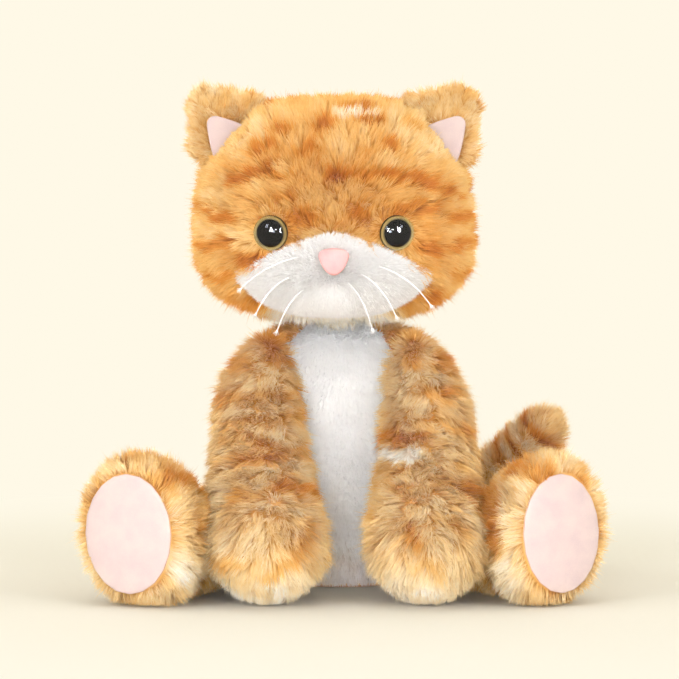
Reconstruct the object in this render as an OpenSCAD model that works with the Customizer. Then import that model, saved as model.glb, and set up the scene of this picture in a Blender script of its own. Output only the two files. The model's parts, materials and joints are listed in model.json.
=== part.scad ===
// Seated plush tabby cat: sewn skin panels over stuffing, safety eyes, and limbs on sewn hinges.
// Sizes are in millimetres. +Z is up, -Y is the way the cat looks, and the origin is the
// middle of the flat seat. "left" and "right" are the sides as seen from in front.

/* [Body] */
// Height of the body from seat to neck
body_h = 124.7; // [100:0.1:160]
// Widest width of the body
body_w = 93; // [76:1:116]
// Greatest depth of the body, front to back
body_d = 88; // [72:1:110]
// How far the body's middle lies behind the origin
body_back = 14; // [8:1:20]
// Radius of the round seat panel
seat_r = 38; // [30:1:42]
// Thickness of the seat panel
seat_t = 2; // [1.5:0.1:3]
// Height of the pellet bag's top above the seat
pellet_top = 36; // [28:1:60]

/* [Fabric] */
// Thickness of the plush fabric with its pile pressed flat
skin_t = 1.8; // [1.2:0.1:3]
// Gap between the fabric and the stuffing inside it
lining_gap = 0.3; // [0.2:0.05:0.6]
// Clearance between pieces that move past each other
move_gap = 1; // [0.6:0.1:2]

/* [Head] */
// Width of the head across the cheeks
head_w = 131; // [110:1:158]
// Height of the head above its widest level
head_up = 71.5; // [58:0.5:86]
// Height of the head below its widest level
head_down = 34; // [28:0.5:41]
// Depth of the head, front to back
head_d = 104; // [86:1:126]
// Sideways set of the head from the middle of the body
head_x = -3.5; // [-6:0.5:6]
// Gap between the top of the body and the underside of the head
neck_gap = 9.3; // [8:0.1:12]

/* [Face] */
// Half width of the white muzzle panel
muzzle_w = 46; // [38:1:52]
// How far the muzzle puffs out of the face
muzzle_puff = 7; // [4:0.5:10]
// Thickness of the muzzle panel at its edge
muzzle_t = 1.4; // [1:0.1:2]
// Height of the eyes above the head's widest level
eye_up = 8; // [4:0.5:12]
// Distance of each eye from the middle of the face
eye_x = 30.2; // [24:0.1:34]
// Diameter of the clear eye dome
eye_dia = 18; // [14:0.5:20]
// Diameter of the black pupil
pupil_dia = 13.4; // [9:0.2:14]
// Width of the nose
nose_w = 16; // [12:0.5:20]
// Height of the nose
nose_h = 13; // [10:0.5:16]
// Thickness of a whisker
whisker_dia = 0.7; // [0.5:0.1:1.2]

/* [Ears] */
// Width of an ear at its base
ear_w = 42; // [34:1:50]
// Height of an ear above its base seam
ear_h = 25; // [21:1:32]
// Thickness of the furry back of an ear
ear_t = 5; // [3:0.5:7]
// Width of the pink lining in an ear
ear_lining_w = 25; // [20:1:30]
// Height of the pink lining in an ear, from the base seam
ear_lining_h = 19; // [15:1:24]
// Outward lean of an ear, in degrees
ear_lean = 41; // [25:1:50]

/* [Arms] */
// Radius of an arm at the shoulder
shoulder_r = 17; // [14:0.5:20]
// Depth of the shoulder hinge below the top of the body
shoulder_drop = 18; // [14:1:24]
// Radius of a round front paw
paw_r = 26.5; // [22:0.5:28]
// How far a front paw reaches in front of the origin
paw_reach = 77; // [68:1:94]
// Gap between the left arm and the leg beside it
leg_gap_left = 2.30; // [0.4:0.01:5]
// Gap between the right arm and the leg beside it
leg_gap_right = 0.49; // [0.4:0.01:5]
// Gap between the left arm and the belly behind it
belly_gap_left = 0.46; // [0.4:0.01:4]
// Gap between the right arm and the belly behind it
belly_gap_right = 0.72; // [0.4:0.01:4]

/* [Legs] */
// Radius of a leg at the hip
hip_r = 21; // [18:0.5:24]
// Length of a leg from its hip hinge to its sole
leg_l = 89; // [76:1:104]
// Outward turn of the left leg, in degrees
leg_turn_left = 25; // [22:1:34]
// Outward turn of the right leg, in degrees
leg_turn_right = 29; // [24:1:36]
// Height of a foot
foot_h = 69; // [58:1:76]
// Width of a foot
foot_w = 53; // [46:1:60]
// Outward lean of a foot's top, in degrees
foot_lean = 11; // [0:1:16]
// Height of a sole pad
sole_h = 55; // [44:1:60]
// Width of a sole pad
sole_w = 45; // [38:1:48]
// Thickness of a sole pad
sole_t = 1.6; // [1:0.1:2.5]

/* [Tail] */
// Radius of the tail
tail_r = 10; // [8:0.5:12]
// Turn of the tail's root from straight behind towards the right, in degrees
tail_root_turn = 22; // [10:1:35]

/* [Hidden] */
$fn = 32;

left = -1;
right = 1;
rust = "#C9762B";
gold = "#E3A652";
cream = "#F3D49A";
snow = "#F1EEEC";
pink = "#F6E1E6";
fluff = "#FAFAF5";

// ---- Lofted skins: a grid is a list of rings, and each ring a list of points ----

function unit(v) = v / norm(v);
function signed_pow(x, p) = sign(x) * pow(abs(x), p);

// Point of a smooth curve through rows of numbers, s from 0 at the first row to 1 at the last
function smooth(rows, s) =
    let(
        last = len(rows) - 1,
        i = min(floor(s * last), last - 1),
        f = s * last - i,
        p1 = rows[i],
        p2 = rows[i + 1],
        p0 = i > 0 ? rows[i - 1] : 2 * p1 - p2,
        p3 = i + 2 <= last ? rows[i + 2] : 2 * p2 - p1
    )
    p1 + f / 2 * (p2 - p0 + f * (2 * p0 - 5 * p1 + 4 * p2 - p3 + f * (3 * (p1 - p2) + p3 - p0)));

// Rounding of a limb's two ends, as a share of its radius
function end_round(s, e0, e1) =
    s < e0 ? pow(1 - pow(1 - s / e0, 2.2), 1 / 2.2)
    : s > 1 - e1 ? pow(1 - pow(1 - (1 - s) / e1, 2.2), 1 / 2.2)
    : 1;

// One ring square to direction w, with half sizes a towards ref and b across it
function ring(c, w, ref, a, b, n, p = 2) =
    let(
        u = unit(ref - (ref * w) * w),
        v = cross(w, u)
    )
    [for (i = [0 : n - 1])
        c + a * signed_pow(cos(360 * i / n), 2 / p) * u + b * signed_pow(sin(360 * i / n), 2 / p) * v];

// Rings of a limb whose rows are [x, y, z, a, b]
function limb(rows, ref, count, n, e0, e1) =
    [for (k = [0 : count])
        if ((k > 0 || e0 == 0) && (k < count || e1 == 0))
            let(
                s = (1 - cos(180 * k / count)) / 2,
                q = smooth(rows, s),
                ahead = smooth(rows, min(s + 0.01, 1)),
                behind = smooth(rows, max(s - 0.01, 0)),
                w = unit([for (j = [0 : 2]) ahead[j] - behind[j]]),
                f = end_round(s, e0, e1)
            )
            ring([q[0], q[1], q[2]], w, ref, q[3] * f, q[4] * f, n)];

// Outward direction of a grid at ring r and column c
function grid_normal(g, r, c) =
    let(
        n = len(g[0]),
        along = g[min(r + 1, len(g) - 1)][c] - g[max(r - 1, 0)][c],
        around = g[r][(c + 1) % n] - g[r][(c + n - 1) % n]
    )
    unit(cross(around, along));

// The same grid, moved inwards by t
function inset(g, t) =
    [for (r = [0 : len(g) - 1]) [for (c = [0 : len(g[0]) - 1]) g[r][c] - t * grid_normal(g, r, c)]];

function middle(points) = [for (p = points) 1] * points / len(points);
function flat_list(lists) = [for (l = lists) for (p = l) p];
function rows_of(g, r0, r1) = [for (r = [r0 : r1]) g[r]];

// Triangles of the strip between two rows of points that start at index i and j
function strip(i, j, n, closed) =
    [for (k = [0 : n - (closed ? 1 : 2)])
        let(m = (k + 1) % n)
        each [[i + k, j + m, i + m], [i + k, j + k, j + m]]];

// Closed solid of all the rings, with a point or a flat face at each end
module solid_of(g, start = undef, finish = undef) {
    n = len(g[0]);
    rings = len(g);
    points = concat(
        flat_list(g),
        [is_undef(start) ? middle(g[0]) : start, is_undef(finish) ? middle(g[rings - 1]) : finish]
    );
    sides = [for (r = [0 : rings - 2]) each strip(r * n, (r + 1) * n, n, true)];
    first = [for (k = [0 : n - 1]) [rings * n, k, (k + 1) % n]];
    last = [for (k = [0 : n - 1]) [rings * n + 1, (rings - 1) * n + (k + 1) % n, (rings - 1) * n + k]];
    polyhedron(points = points, faces = concat(sides, first, last));
}

// Fabric between an outer and an inner grid that runs all the way round. A pole closes the
// skin at its first or its last ring, as a pair of points: outer and inner
module tube_skin(outer, inner, first_pole = undef, last_pole = undef) {
    n = len(outer[0]);
    rings = len(outer);
    size = rings * n;
    poles = concat(is_undef(first_pole) ? [] : first_pole, is_undef(last_pole) ? [] : last_pole);
    points = concat(flat_list(outer), flat_list(inner), poles);
    start = 2 * size;
    finish = is_undef(first_pole) ? start : start + 2;
    end = size - n;
    outside = [for (r = [0 : rings - 2]) each strip(r * n, (r + 1) * n, n, true)];
    inside = [for (r = [0 : rings - 2]) each strip(size + (r + 1) * n, size + r * n, n, true)];
    first = is_undef(first_pole)
        ? strip(size, 0, n, true)
        : [for (k = [0 : n - 1])
            let(m = (k + 1) % n)
            each [[start, k, m], [start + 1, size + m, size + k]]];
    last = is_undef(last_pole)
        ? strip(end, size + end, n, true)
        : [for (k = [0 : n - 1])
            let(m = (k + 1) % n)
            each [[finish, end + m, end + k], [finish + 1, size + end + k, size + end + m]]];
    polyhedron(points = points, faces = concat(outside, inside, first, last));
}

// Fabric panel between an outer and an inner patch. The patches have open edges, and a pole
// draws the first or the last row together, as a pair of points: outer and inner
module panel(outer, inner, first_pole = undef, last_pole = undef) {
    n = len(outer[0]);
    rings = len(outer);
    size = rings * n;
    poles = concat(is_undef(first_pole) ? [] : first_pole, is_undef(last_pole) ? [] : last_pole);
    points = concat(flat_list(outer), flat_list(inner), poles);
    start = 2 * size;
    finish = is_undef(first_pole) ? start : start + 2;
    end = size - n;
    outside = [for (r = [0 : rings - 2]) each strip(r * n, (r + 1) * n, n, false)];
    inside = [for (r = [0 : rings - 2]) each strip(size + (r + 1) * n, size + r * n, n, false)];
    edges = [for (r = [0 : rings - 2])
        let(
            a = r * n,
            b = a + n,
            c = a + n - 1,
            d = b + n - 1
        )
        each [[a, size + a, size + b], [a, size + b, b], [c, size + d, size + c], [c, d, size + d]]];
    first = is_undef(first_pole)
        ? strip(size, 0, n, false)
        : concat(
            [for (k = [0 : n - 2])
                each [[start, k, k + 1], [start + 1, size + k + 1, size + k]]],
            [[start, start + 1, size], [start, size, 0]],
            [[start, n - 1, size + n - 1], [start, size + n - 1, start + 1]]
        );
    last = is_undef(last_pole)
        ? strip(end, size + end, n, false)
        : concat(
            [for (k = [0 : n - 2])
                each [
                    [finish, end + k + 1, end + k],
                    [finish + 1, size + end + k, size + end + k + 1]
                ]],
            [[finish, end, size + end], [finish, size + end, finish + 1]],
            [[finish, finish + 1, size + end + n - 1], [finish, size + end + n - 1, end + n - 1]]
        );
    polyhedron(points = points, faces = concat(outside, inside, edges, first, last));
}

// Columns c0 to c1 of a grid, counted round past its first column where needed
function columns_of(g, c0, c1) =
    [for (row = g) [for (c = [c0 : c1]) row[(c + 2 * len(row)) % len(row)]]];

// ---- Body: rings stacked up Z, column 0 at the front and a quarter turn on at the right ----

body_columns = 32;
belly_half = 6;
body_top = body_h;
body_rows = [
    for (q = [
        // share of the width, share of the depth, share of the set back
        [0, 0, 1], [0.978, 1, 1], [1, 1, 1], [0.968, 0.966, 1], [0.903, 0.909, 1],
        [0.817, 0.841, 0.964], [0.71, 0.761, 0.893], [0.581, 0.659, 0.786], [0.473, 0.545, 0.643]
    ])
    [q[0] == 0 ? seat_r : q[0] * body_w / 2, q[1] == 0 ? seat_r : q[1] * body_d / 2, q[2] * body_back]
];

// Section of the body at height z: half width, half depth, set back
function body_at(z) = smooth(body_rows, (z - seat_t) / (body_top - seat_t));

body_rings = limb(
    [for (i = [0 : len(body_rows) - 1])
        let(q = body_rows[i])
        [0, q[2], seat_t + (body_top - seat_t) * i / (len(body_rows) - 1), q[1], q[0]]],
    [0, -1, 0], 13, body_columns, 0, 0.12
);
body_pole = [0, body_rows[len(body_rows) - 1][2], body_top];
body_inner = inset(body_rings, skin_t);
body_core = inset(body_rings, skin_t + lining_gap);
body_poles = [body_pole, body_pole - [0, 0, skin_t]];
// First ring above the pellets
fill_row = min([for (r = [3 : len(body_rings) - 3]) if (body_rings[r][0][2] > pellet_top) r]);

// Point beside the body at height z, as far out as a ball of radius r needs, turned a degrees
// forwards from the side
function beside_body(side, z, r, a) =
    let(
        q = body_at(z),
        reach = 1 / norm([cos(a) / q[0], sin(a) / q[1]]) + r + move_gap
    )
    [side * reach * cos(a), q[2] - reach * sin(a), z];

module belly_panel() {
    color(snow)
    panel(
        columns_of(body_rings, -belly_half, belly_half),
        columns_of(body_inner, -belly_half, belly_half),
        undef, body_poles
    );
}

module body_side(side) {
    half = body_columns / 2;
    from = side == right ? belly_half : half;
    to = side == right ? half : body_columns - belly_half;
    color(gold)
    panel(columns_of(body_rings, from, to), columns_of(body_inner, from, to), undef, body_poles);
}

module body_side_left() {
    body_side(left);
}

module body_side_right() {
    body_side(right);
}

module seat_panel() {
    color(gold)
    translate([0, body_back, 0])
    cylinder(r = seat_r, h = seat_t, $fn = 64);
}

module pellet_bag() {
    color(cream)
    solid_of(rows_of(body_core, 0, fill_row));
}

module body_stuffing() {
    color(fluff)
    solid_of(
        rows_of(body_core, fill_row, len(body_core) - 1),
        undef, body_pole - [0, 0, skin_t + lining_gap]
    );
}

module neck_plug() {
    color(cream)
    translate(neck_centre)
    sphere(r = neck_gap / 2 - lining_gap);
}

// ---- Head: rings from the left cheek to the right, column 0 at the front, then underneath ----

head_columns = 36;
head_step = 10;
// Level at which the head is widest
head_level = body_top + neck_gap + head_down;
neck_centre = [head_x / 2, body_pole[1] / 2, body_top + neck_gap / 2];
head_bulge = 2.4;

// Profile of the head, as a share of its size at distance u from the middle
function fall_off(u, p) = pow(max(0, 1 - pow(abs(u), p)), 1 / p);
function head_top(u) = head_level + head_up * fall_off(u, 3);
function head_bottom(u) = head_level - head_down * fall_off(u, 2.2);
function head_middle(u) = (head_top(u) + head_bottom(u)) / 2;
function head_half(u) = (head_top(u) - head_bottom(u)) / 2;
function head_point(u, a) = [
    head_x + u * head_w / 2,
    -head_d / 2 * fall_off(u, 2.3) * signed_pow(cos(a), 2 / head_bulge),
    head_middle(u) - head_half(u) * signed_pow(sin(a), 2 / head_bulge)
];
function head_normal(u, a) =
    let(
        along = head_point(u + 0.02, a) - head_point(u - 0.02, a),
        around = head_point(u, a + 2) - head_point(u, a - 2)
    )
    unit(cross(around, along));
// Column angle at which the front of the head has height z
function head_angle(u, z) =
    let(share = (head_middle(u) - z) / head_half(u))
    asin(max(-1, min(1, signed_pow(share, head_bulge / 2))));

head_rings = [
    for (a = [-90 + head_step : head_step : 90 - head_step])
        [for (i = [0 : head_columns - 1]) head_point(sin(a), 360 * i / head_columns)]
];
head_inner = inset(head_rings, skin_t);
head_core = inset(head_rings, skin_t + lining_gap);
head_last = len(head_rings) - 1;
// Radius of an eye's shank
shank_r = 2.4;
// The gusset takes the rings up to the first one outside the eyes' shanks
gusset_first = len([
    for (a = [-90 + head_step : head_step : -head_step])
        if (-sin(a) * head_w / 2 > eye_x + shank_r) a
]) - 1;
gusset_last = head_last - gusset_first;

// Tip of the left or right cheek, moved in by t
function cheek(side, t) = [head_x + side * (head_w / 2 - t), 0, head_level];

module head_gusset() {
    color(gold)
    tube_skin(
        rows_of(head_rings, gusset_first, gusset_last),
        rows_of(head_inner, gusset_first, gusset_last)
    );
}

module head_side_left() {
    color(gold)
    tube_skin(
        rows_of(head_rings, 0, gusset_first), rows_of(head_inner, 0, gusset_first),
        [cheek(left, 0), cheek(left, skin_t)], undef
    );
}

module head_side_right() {
    color(gold)
    tube_skin(
        rows_of(head_rings, gusset_last, head_last), rows_of(head_inner, gusset_last, head_last),
        undef, [cheek(right, 0), cheek(right, skin_t)]
    );
}

module head_stuffing() {
    color(fluff)
    solid_of(head_core, cheek(left, skin_t + lining_gap), cheek(right, skin_t + lining_gap));
}

// ---- Face: everything sits on the head's surface at (x from the middle, height z) ----

// Upper and lower edge of the muzzle at distance x from the middle
function muzzle_high(x) = head_level + 9 - 20 * pow(abs(x) / muzzle_w, 1.3);
function muzzle_low(x) = head_level - head_down + 2 + 18 * pow(abs(x) / muzzle_w, 3);
// Point of the muzzle at share f down its height, proud of the head by puff and more
function muzzle_point(x, f, more, puff) =
    let(
        u = x / (head_w / 2),
        a = head_angle(u, muzzle_high(x) + f * (muzzle_low(x) - muzzle_high(x))),
        swell = puff * (1 - pow(x / muzzle_w, 2)) * pow(sin(180 * f), 0.8)
    )
    head_point(u, a) + (more + swell) * head_normal(u, a);

muzzle_steps = 16;
muzzle_columns = 10;
muzzle_gap = 0.4;
function muzzle_grid(more, puff) =
    [for (i = [-muzzle_steps / 2 : muzzle_steps / 2])
        [for (k = [0 : muzzle_columns])
            muzzle_point(muzzle_w * sin(180 * i / muzzle_steps), k / muzzle_columns, more, puff)]];

module muzzle_panel() {
    color(snow)
    panel(muzzle_grid(muzzle_gap + muzzle_t, muzzle_puff), muzzle_grid(muzzle_gap, 0));
}

// Turns the children's Z axis along direction n at point p
module aim(p, n) {
    translate(p)
    rotate([0, acos(n[2]), atan2(n[1], n[0])])
    children();
}

nose_share = 0.3;
nose_t = 3.4;

module nose() {
    seat = muzzle_point(0, nose_share, muzzle_gap + muzzle_t, muzzle_puff);
    corner = 2.6;
    color("#FFB9BA")
    translate(seat)
    rotate([78, 0, 0])
    linear_extrude(height = nose_t, center = true)
    hull() {
        for (side = [left, right]) {
            translate([side * (nose_w / 2 - corner), nose_h / 2 - corner])
            circle(r = corner);
        }
        translate([0, -nose_h / 2 + corner])
        circle(r = corner);
    }
}

eye_t = 0.8;
shank_l = 13;
washer_r = 7;
washer_t = 1.2;
eye_lift = 0.4;

module on_eye(side) {
    u = side * eye_x / (head_w / 2);
    a = head_angle(u, head_level + eye_up);
    aim(head_point(u, a), head_normal(u, a))
    children();
}

// Clear dome in front of the painted eye
module eye_lens(side) {
    dome_h = eye_dia * 0.3;
    dome_r = (pow(eye_dia / 2, 2) + pow(dome_h, 2)) / (2 * dome_h);
    color("#FFFFFF", 0.35)
    on_eye(side)
    translate([0, 0, eye_lift + eye_t])
    intersection() {
        translate([0, 0, dome_h - dome_r])
        sphere(r = dome_r, $fn = 64);
        cylinder(r = eye_dia, h = dome_h + 1, $fn = 64);
    }
}

// Brass-coloured ring round the pupil
module eye_iris(side) {
    color("#A98A45")
    on_eye(side)
    translate([0, 0, eye_lift])
    difference() {
        cylinder(d = eye_dia, h = eye_t, $fn = 64);
        translate([0, 0, -1])
        cylinder(d = pupil_dia, h = eye_t + 2, $fn = 64);
    }
}

// Black backing with the shank that goes through the fabric
module eye_pupil(side) {
    color("#141210")
    on_eye(side)
    union() {
        translate([0, 0, eye_lift])
        cylinder(d = pupil_dia, h = eye_t, $fn = 64);
        translate([0, 0, eye_lift - shank_l])
        cylinder(r = shank_r, h = shank_l + eye_t / 2, $fn = 64);
    }
}

// Lock washer pressed on the shank behind the fabric
module eye_washer(side) {
    color("#E8E8E8")
    on_eye(side)
    translate([0, 0, -skin_t - lining_gap - washer_t])
    difference() {
        cylinder(r = washer_r, h = washer_t, $fn = 64);
        translate([0, 0, -1])
        cylinder(r = shank_r, h = washer_t + 2, $fn = 64);
    }
}

module eye_lens_left() {
    eye_lens(left);
}

module eye_lens_right() {
    eye_lens(right);
}

module eye_iris_left() {
    eye_iris(left);
}

module eye_iris_right() {
    eye_iris(right);
}

module eye_pupil_left() {
    eye_pupil(left);
}

module eye_pupil_right() {
    eye_pupil(right);
}

module eye_washer_left() {
    eye_washer(left);
}

module eye_washer_right() {
    eye_washer(right);
}

whisker_sides = 8;
whisker_steps = 9;

// Whisker from (x, share f down the muzzle) that arcs forwards and drops to its end, given as
// a move from its root: sideways, forwards, down
module whisker(x, f, move) {
    start = muzzle_point(x, f, muzzle_gap, muzzle_puff);
    finish = start + [move[0], -move[1], -move[2]];
    bend = start + [0.6 * move[0], -1.5 * move[1] - 2, -0.2 * move[2]];
    path = [for (k = [0 : whisker_steps])
        let(s = k / whisker_steps)
        (1 - s) * (1 - s) * start + 2 * s * (1 - s) * bend + s * s * finish];
    rings = [for (k = [0 : whisker_steps])
        let(
            w = unit(path[min(k + 1, whisker_steps)] - path[max(k - 1, 0)]),
            r = whisker_dia / 2 * (k == whisker_steps ? 2 : 1)
        )
        ring(path[k], w, [0, 0, 1], r, r, whisker_sides)];
    color("#FFFFFF")
    solid_of(rings);
}

module whisker_left_upper() {
    whisker(-17, 0.18, [-29, 5, 17]);
}

module whisker_left_middle() {
    whisker(-21, 0.4, [-16.5, 6, 19.5]);
}

module whisker_left_lower() {
    whisker(-14, 0.57, [-13.5, 6, 22]);
}

module whisker_right_upper() {
    whisker(21, 0.26, [26.5, 5, 21]);
}

module whisker_right_middle() {
    whisker(12.5, 0.39, [18, 6, 23]);
}

module whisker_right_lower() {
    whisker(6.5, 0.51, [12.5, 6, 25]);
}

// ---- Ears: rounded triangles sewn into the seams at the head's upper corners ----

ear_at = 0.78;
ear_turn = 282;
ear_sink = 5;
ear_corner = 7;
ear_tip = 10;
lining_aside = 3;
ear_lining_t = 1.5;
lining_corner = 4;

// Rounded triangle with its base below the seam
module ear_outline(w, h, corner, tip) {
    hull() {
        for (side = [left, right]) {
            translate([side * (w / 2 - corner), corner - ear_sink])
            circle(r = corner);
        }
        translate([0, h - tip])
        circle(r = tip);
    }
}

module on_ear(side) {
    translate(head_point(side * ear_at, ear_turn))
    rotate([0, side * ear_lean, 0])
    rotate([90, 0, 0])
    children();
}

module ear_back(side) {
    color(gold)
    on_ear(side)
    linear_extrude(height = ear_t, center = true)
    ear_outline(ear_w, ear_h, ear_corner, ear_tip);
}

module ear_lining(side) {
    color(pink)
    on_ear(side)
    translate([side * lining_aside, 0, ear_t / 2])
    linear_extrude(height = ear_lining_t)
    ear_outline(ear_lining_w, ear_lining_h, lining_corner, lining_corner);
}

module ear_back_left() {
    ear_back(left);
}

module ear_back_right() {
    ear_back(right);
}

module ear_lining_left() {
    ear_lining(left);
}

module ear_lining_right() {
    ear_lining(right);
}

// ---- Arms: from the round shoulder down and forwards to the paw, column 0 outwards ----

limb_columns = 20;
arm_steps = 6;
shoulder_turn = 28;
shoulder_share = 0.7;
arm_end_round = 0.178;
arm_start_round = 0.117;
// Height of a paw above the surface the toy sits on
floor_gap = 0.4;
// Usual sag of an arm half way down
arm_sag = 5;

function shoulder(side) = beside_body(side, body_top - shoulder_drop, shoulder_r, shoulder_turn);

function paw_at(side, x) = [side * x, -paw_reach, paw_r + floor_gap];

// Rows of an arm whose paw lies x from the middle and which sags by sag half way down
function arm_line(side, x, sag) =
    let(
        s = shoulder(side),
        p = paw_at(side, x),
        line = p - s,
        down = unit([0, line[1], line[2]])
    )
    [for (k = [0 : arm_steps])
        let(
            f = (k - shoulder_share) / (arm_steps - 1 - shoulder_share),
            bow = sag * sin(180 * max(0, min(1, f))),
            r = shoulder_r + (paw_r - shoulder_r) * pow(max(0, min(1, f)), 1.25),
            c = k == arm_steps ? p + down * paw_r : s + line * f
        )
        concat(c + [side * bow / 3, bow * 0.8, -bow * 0.8], [r, r])];

// The flats of a limb's facets lie this share of its radius out
flat = cos(180 / limb_columns);
// Rows of a limb, close together, without its rounded ends
function spots(rows) = [for (s = [0.1 : 0.04 : 0.9]) smooth(rows, s)];
function xyz(q) = [q[0], q[1], q[2]];
// Room between an arm and its leg, whose section is an ellipse
function room_to_leg(side, rows) =
    min([for (q = spots(leg_rows(side))) for (k = spots(rows))
        let(d = xyz(k) - xyz(q))
        norm(d) * (1 - flat / norm([norm([d[0], d[1]]) / q[3], d[2] / q[4]])) - flat * k[3]]);
// Room between an arm and the body
function room_to_body(rows) =
    min([for (ring = body_rings) for (p = ring) for (k = spots(rows))
        norm(xyz(k) - p) - flat * k[3]]);

// The paw lies as far out as the leg's gap lets it, found by halving the span from a to b
function paw_between(side, a, b, tries) =
    let(x = (a + b) / 2)
    tries == 0 ? x
    : room_to_leg(side, arm_line(side, x, arm_sag)) > (side == left ? leg_gap_left : leg_gap_right)
        ? paw_between(side, x, b, tries - 1)
        : paw_between(side, a, x, tries - 1);
// The arm sags as far as the belly's gap lets it
function sag_between(side, x, a, b, tries) =
    let(sag = (a + b) / 2)
    tries == 0 ? sag
    : room_to_body(arm_line(side, x, sag)) > (side == left ? belly_gap_left : belly_gap_right)
        ? sag_between(side, x, sag, b, tries - 1)
        : sag_between(side, x, a, sag, tries - 1);

function arm_rows(side) =
    let(x = paw_between(side, 0, body_w, 16))
    arm_line(side, x, sag_between(side, x, -20, 20, 12));

function arm_rings(side) =
    limb(arm_rows(side), [side, 0, 0], 15, limb_columns, arm_start_round, arm_end_round);
function arm_poles(side, t) =
    let(
        rows = arm_rows(side),
        first = [for (j = [0 : 2]) rows[0][j]],
        second = [for (j = [0 : 2]) rows[1][j]],
        last = [for (j = [0 : 2]) rows[arm_steps][j]],
        before = [for (j = [0 : 2]) rows[arm_steps - 1][j]]
    )
    [first + t * unit(second - first), last + t * unit(before - last)];

module arm_skin(side, c0, c1) {
    rings = arm_rings(side);
    outer = arm_poles(side, 0);
    inner = arm_poles(side, skin_t);
    color(gold)
    panel(
        columns_of(rings, c0, c1), columns_of(inset(rings, skin_t), c0, c1),
        [outer[0], inner[0]], [outer[1], inner[1]]
    );
}

module arm_stuffing(side) {
    t = skin_t + lining_gap;
    ends = arm_poles(side, t);
    color(fluff)
    solid_of(inset(arm_rings(side), t), ends[0], ends[1]);
}

quarter = limb_columns / 4;

module arm_outer_left() {
    arm_skin(left, -quarter, quarter);
}

module arm_inner_left() {
    arm_skin(left, quarter, 3 * quarter);
}

module arm_stuffing_left() {
    arm_stuffing(left);
}

module arm_outer_right() {
    arm_skin(right, -quarter, quarter);
}

module arm_inner_right() {
    arm_skin(right, quarter, 3 * quarter);
}

module arm_stuffing_right() {
    arm_stuffing(right);
}

// ---- Legs: from the round hip along the floor to the upright foot and its flat sole ----

hip_turn = 24;
leg_z = hip_r + 3;
leg_end_round = 0.19;

function hip(side) = beside_body(side, leg_z, hip_r, hip_turn);
function leg_turn(side) = side == left ? leg_turn_left : leg_turn_right;
function leg_way(side) = [side * sin(leg_turn(side)), -cos(leg_turn(side)), 0];
function leg_out(side) = [side * cos(leg_turn(side)), sin(leg_turn(side)), -tan(foot_lean)];

// Length of the foot from the ankle to the sole
foot_l = 46.3;

// Rows of a leg: distance from the hip, middle height, half width, half height
leg_shape = [
    [-hip_r, leg_z, hip_r, hip_r + 1],
    [0, leg_z, hip_r, hip_r + 1],
    [0.52 * (leg_l - foot_l), leg_z - 0.5, hip_r - 1.5, hip_r + 0.5],
    [leg_l - foot_l, leg_z + 1.5, hip_r - 1, hip_r + 3],
    [leg_l - 0.615 * foot_l, foot_h / 2 - 2.5, foot_w / 2 - 2.5, foot_h / 2 - 2.5],
    [leg_l - 0.27 * foot_l, foot_h / 2 + 0.3, foot_w / 2, foot_h / 2],
    [leg_l, foot_h / 2 + 0.5, sole_w / 2 + 1, sole_h / 2 + 1]
];

function leg_rows(side) =
    [for (q = leg_shape)
        let(p = hip(side) + leg_way(side) * q[0])
        [p[0], p[1], q[1], q[2], q[3]]];
function leg_rings(side) = limb(leg_rows(side), leg_out(side), 15, limb_columns, leg_end_round, 0);
function leg_pole(side, t) = hip(side) - leg_way(side) * (hip_r - t);

module leg_skin(side, c0, c1) {
    rings = leg_rings(side);
    color(gold)
    panel(
        columns_of(rings, c0, c1), columns_of(inset(rings, skin_t), c0, c1),
        [leg_pole(side, 0), leg_pole(side, skin_t)], undef
    );
}

module leg_stuffing(side) {
    t = skin_t + lining_gap;
    rings = inset(leg_rings(side), t);
    color(fluff)
    solid_of(rings, leg_pole(side, t), undef);
}

module sole_pad(side) {
    rings = leg_rings(side);
    rim = rings[len(rings) - 1];
    way = unit(cross(rim[quarter] - rim[3 * quarter], rim[0] - rim[2 * quarter])) * -1;
    color(pink)
    solid_of([for (t = [0, sole_t]) [for (p = rim) p + t * way]]);
}

module leg_upper_left() {
    leg_skin(left, 2 * quarter, 4 * quarter);
}

module leg_lower_left() {
    leg_skin(left, 0, 2 * quarter);
}

module sole_pad_left() {
    sole_pad(left);
}

module leg_stuffing_left() {
    leg_stuffing(left);
}

module leg_upper_right() {
    leg_skin(right, 0, 2 * quarter);
}

module leg_lower_right() {
    leg_skin(right, 2 * quarter, 4 * quarter);
}

module sole_pad_right() {
    sole_pad(right);
}

module leg_stuffing_right() {
    leg_stuffing(right);
}

// ---- Tail: from low on the back round to the right and up, column 0 upwards ----

tail_z = 22;
tail_columns = 16;
tail_end_round = 0.11;
tail_root = beside_body(right, tail_z, tail_r, tail_root_turn - 90);
// Route of the tail from its root, as moves in x, y and z
tail_route = [[-4, -7, -3], [6, 9, 1], [27, 12, 4], [50, 3, 17], [72, -10, 36], [88, -18, 56]];
tail_rows = [for (p = tail_route) concat(tail_root + p, [tail_r, tail_r])];
tail_rings = limb(tail_rows, [0, 0, 1], 15, tail_columns, tail_end_round, tail_end_round);
function tail_end(i, j, t) = tail_root + tail_route[i] + t * unit(tail_route[j] - tail_route[i]);
function tail_poles(t) = [tail_end(0, 1, t), tail_end(5, 4, t)];

module tail_skin(c0, c1) {
    outer = tail_poles(0);
    inner = tail_poles(skin_t);
    color(rust)
    panel(
        columns_of(tail_rings, c0, c1), columns_of(inset(tail_rings, skin_t), c0, c1),
        [outer[0], inner[0]], [outer[1], inner[1]]
    );
}

module tail_upper() {
    tail_skin(-tail_columns / 4, tail_columns / 4);
}

module tail_under() {
    tail_skin(tail_columns / 4, 3 * tail_columns / 4);
}

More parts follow.
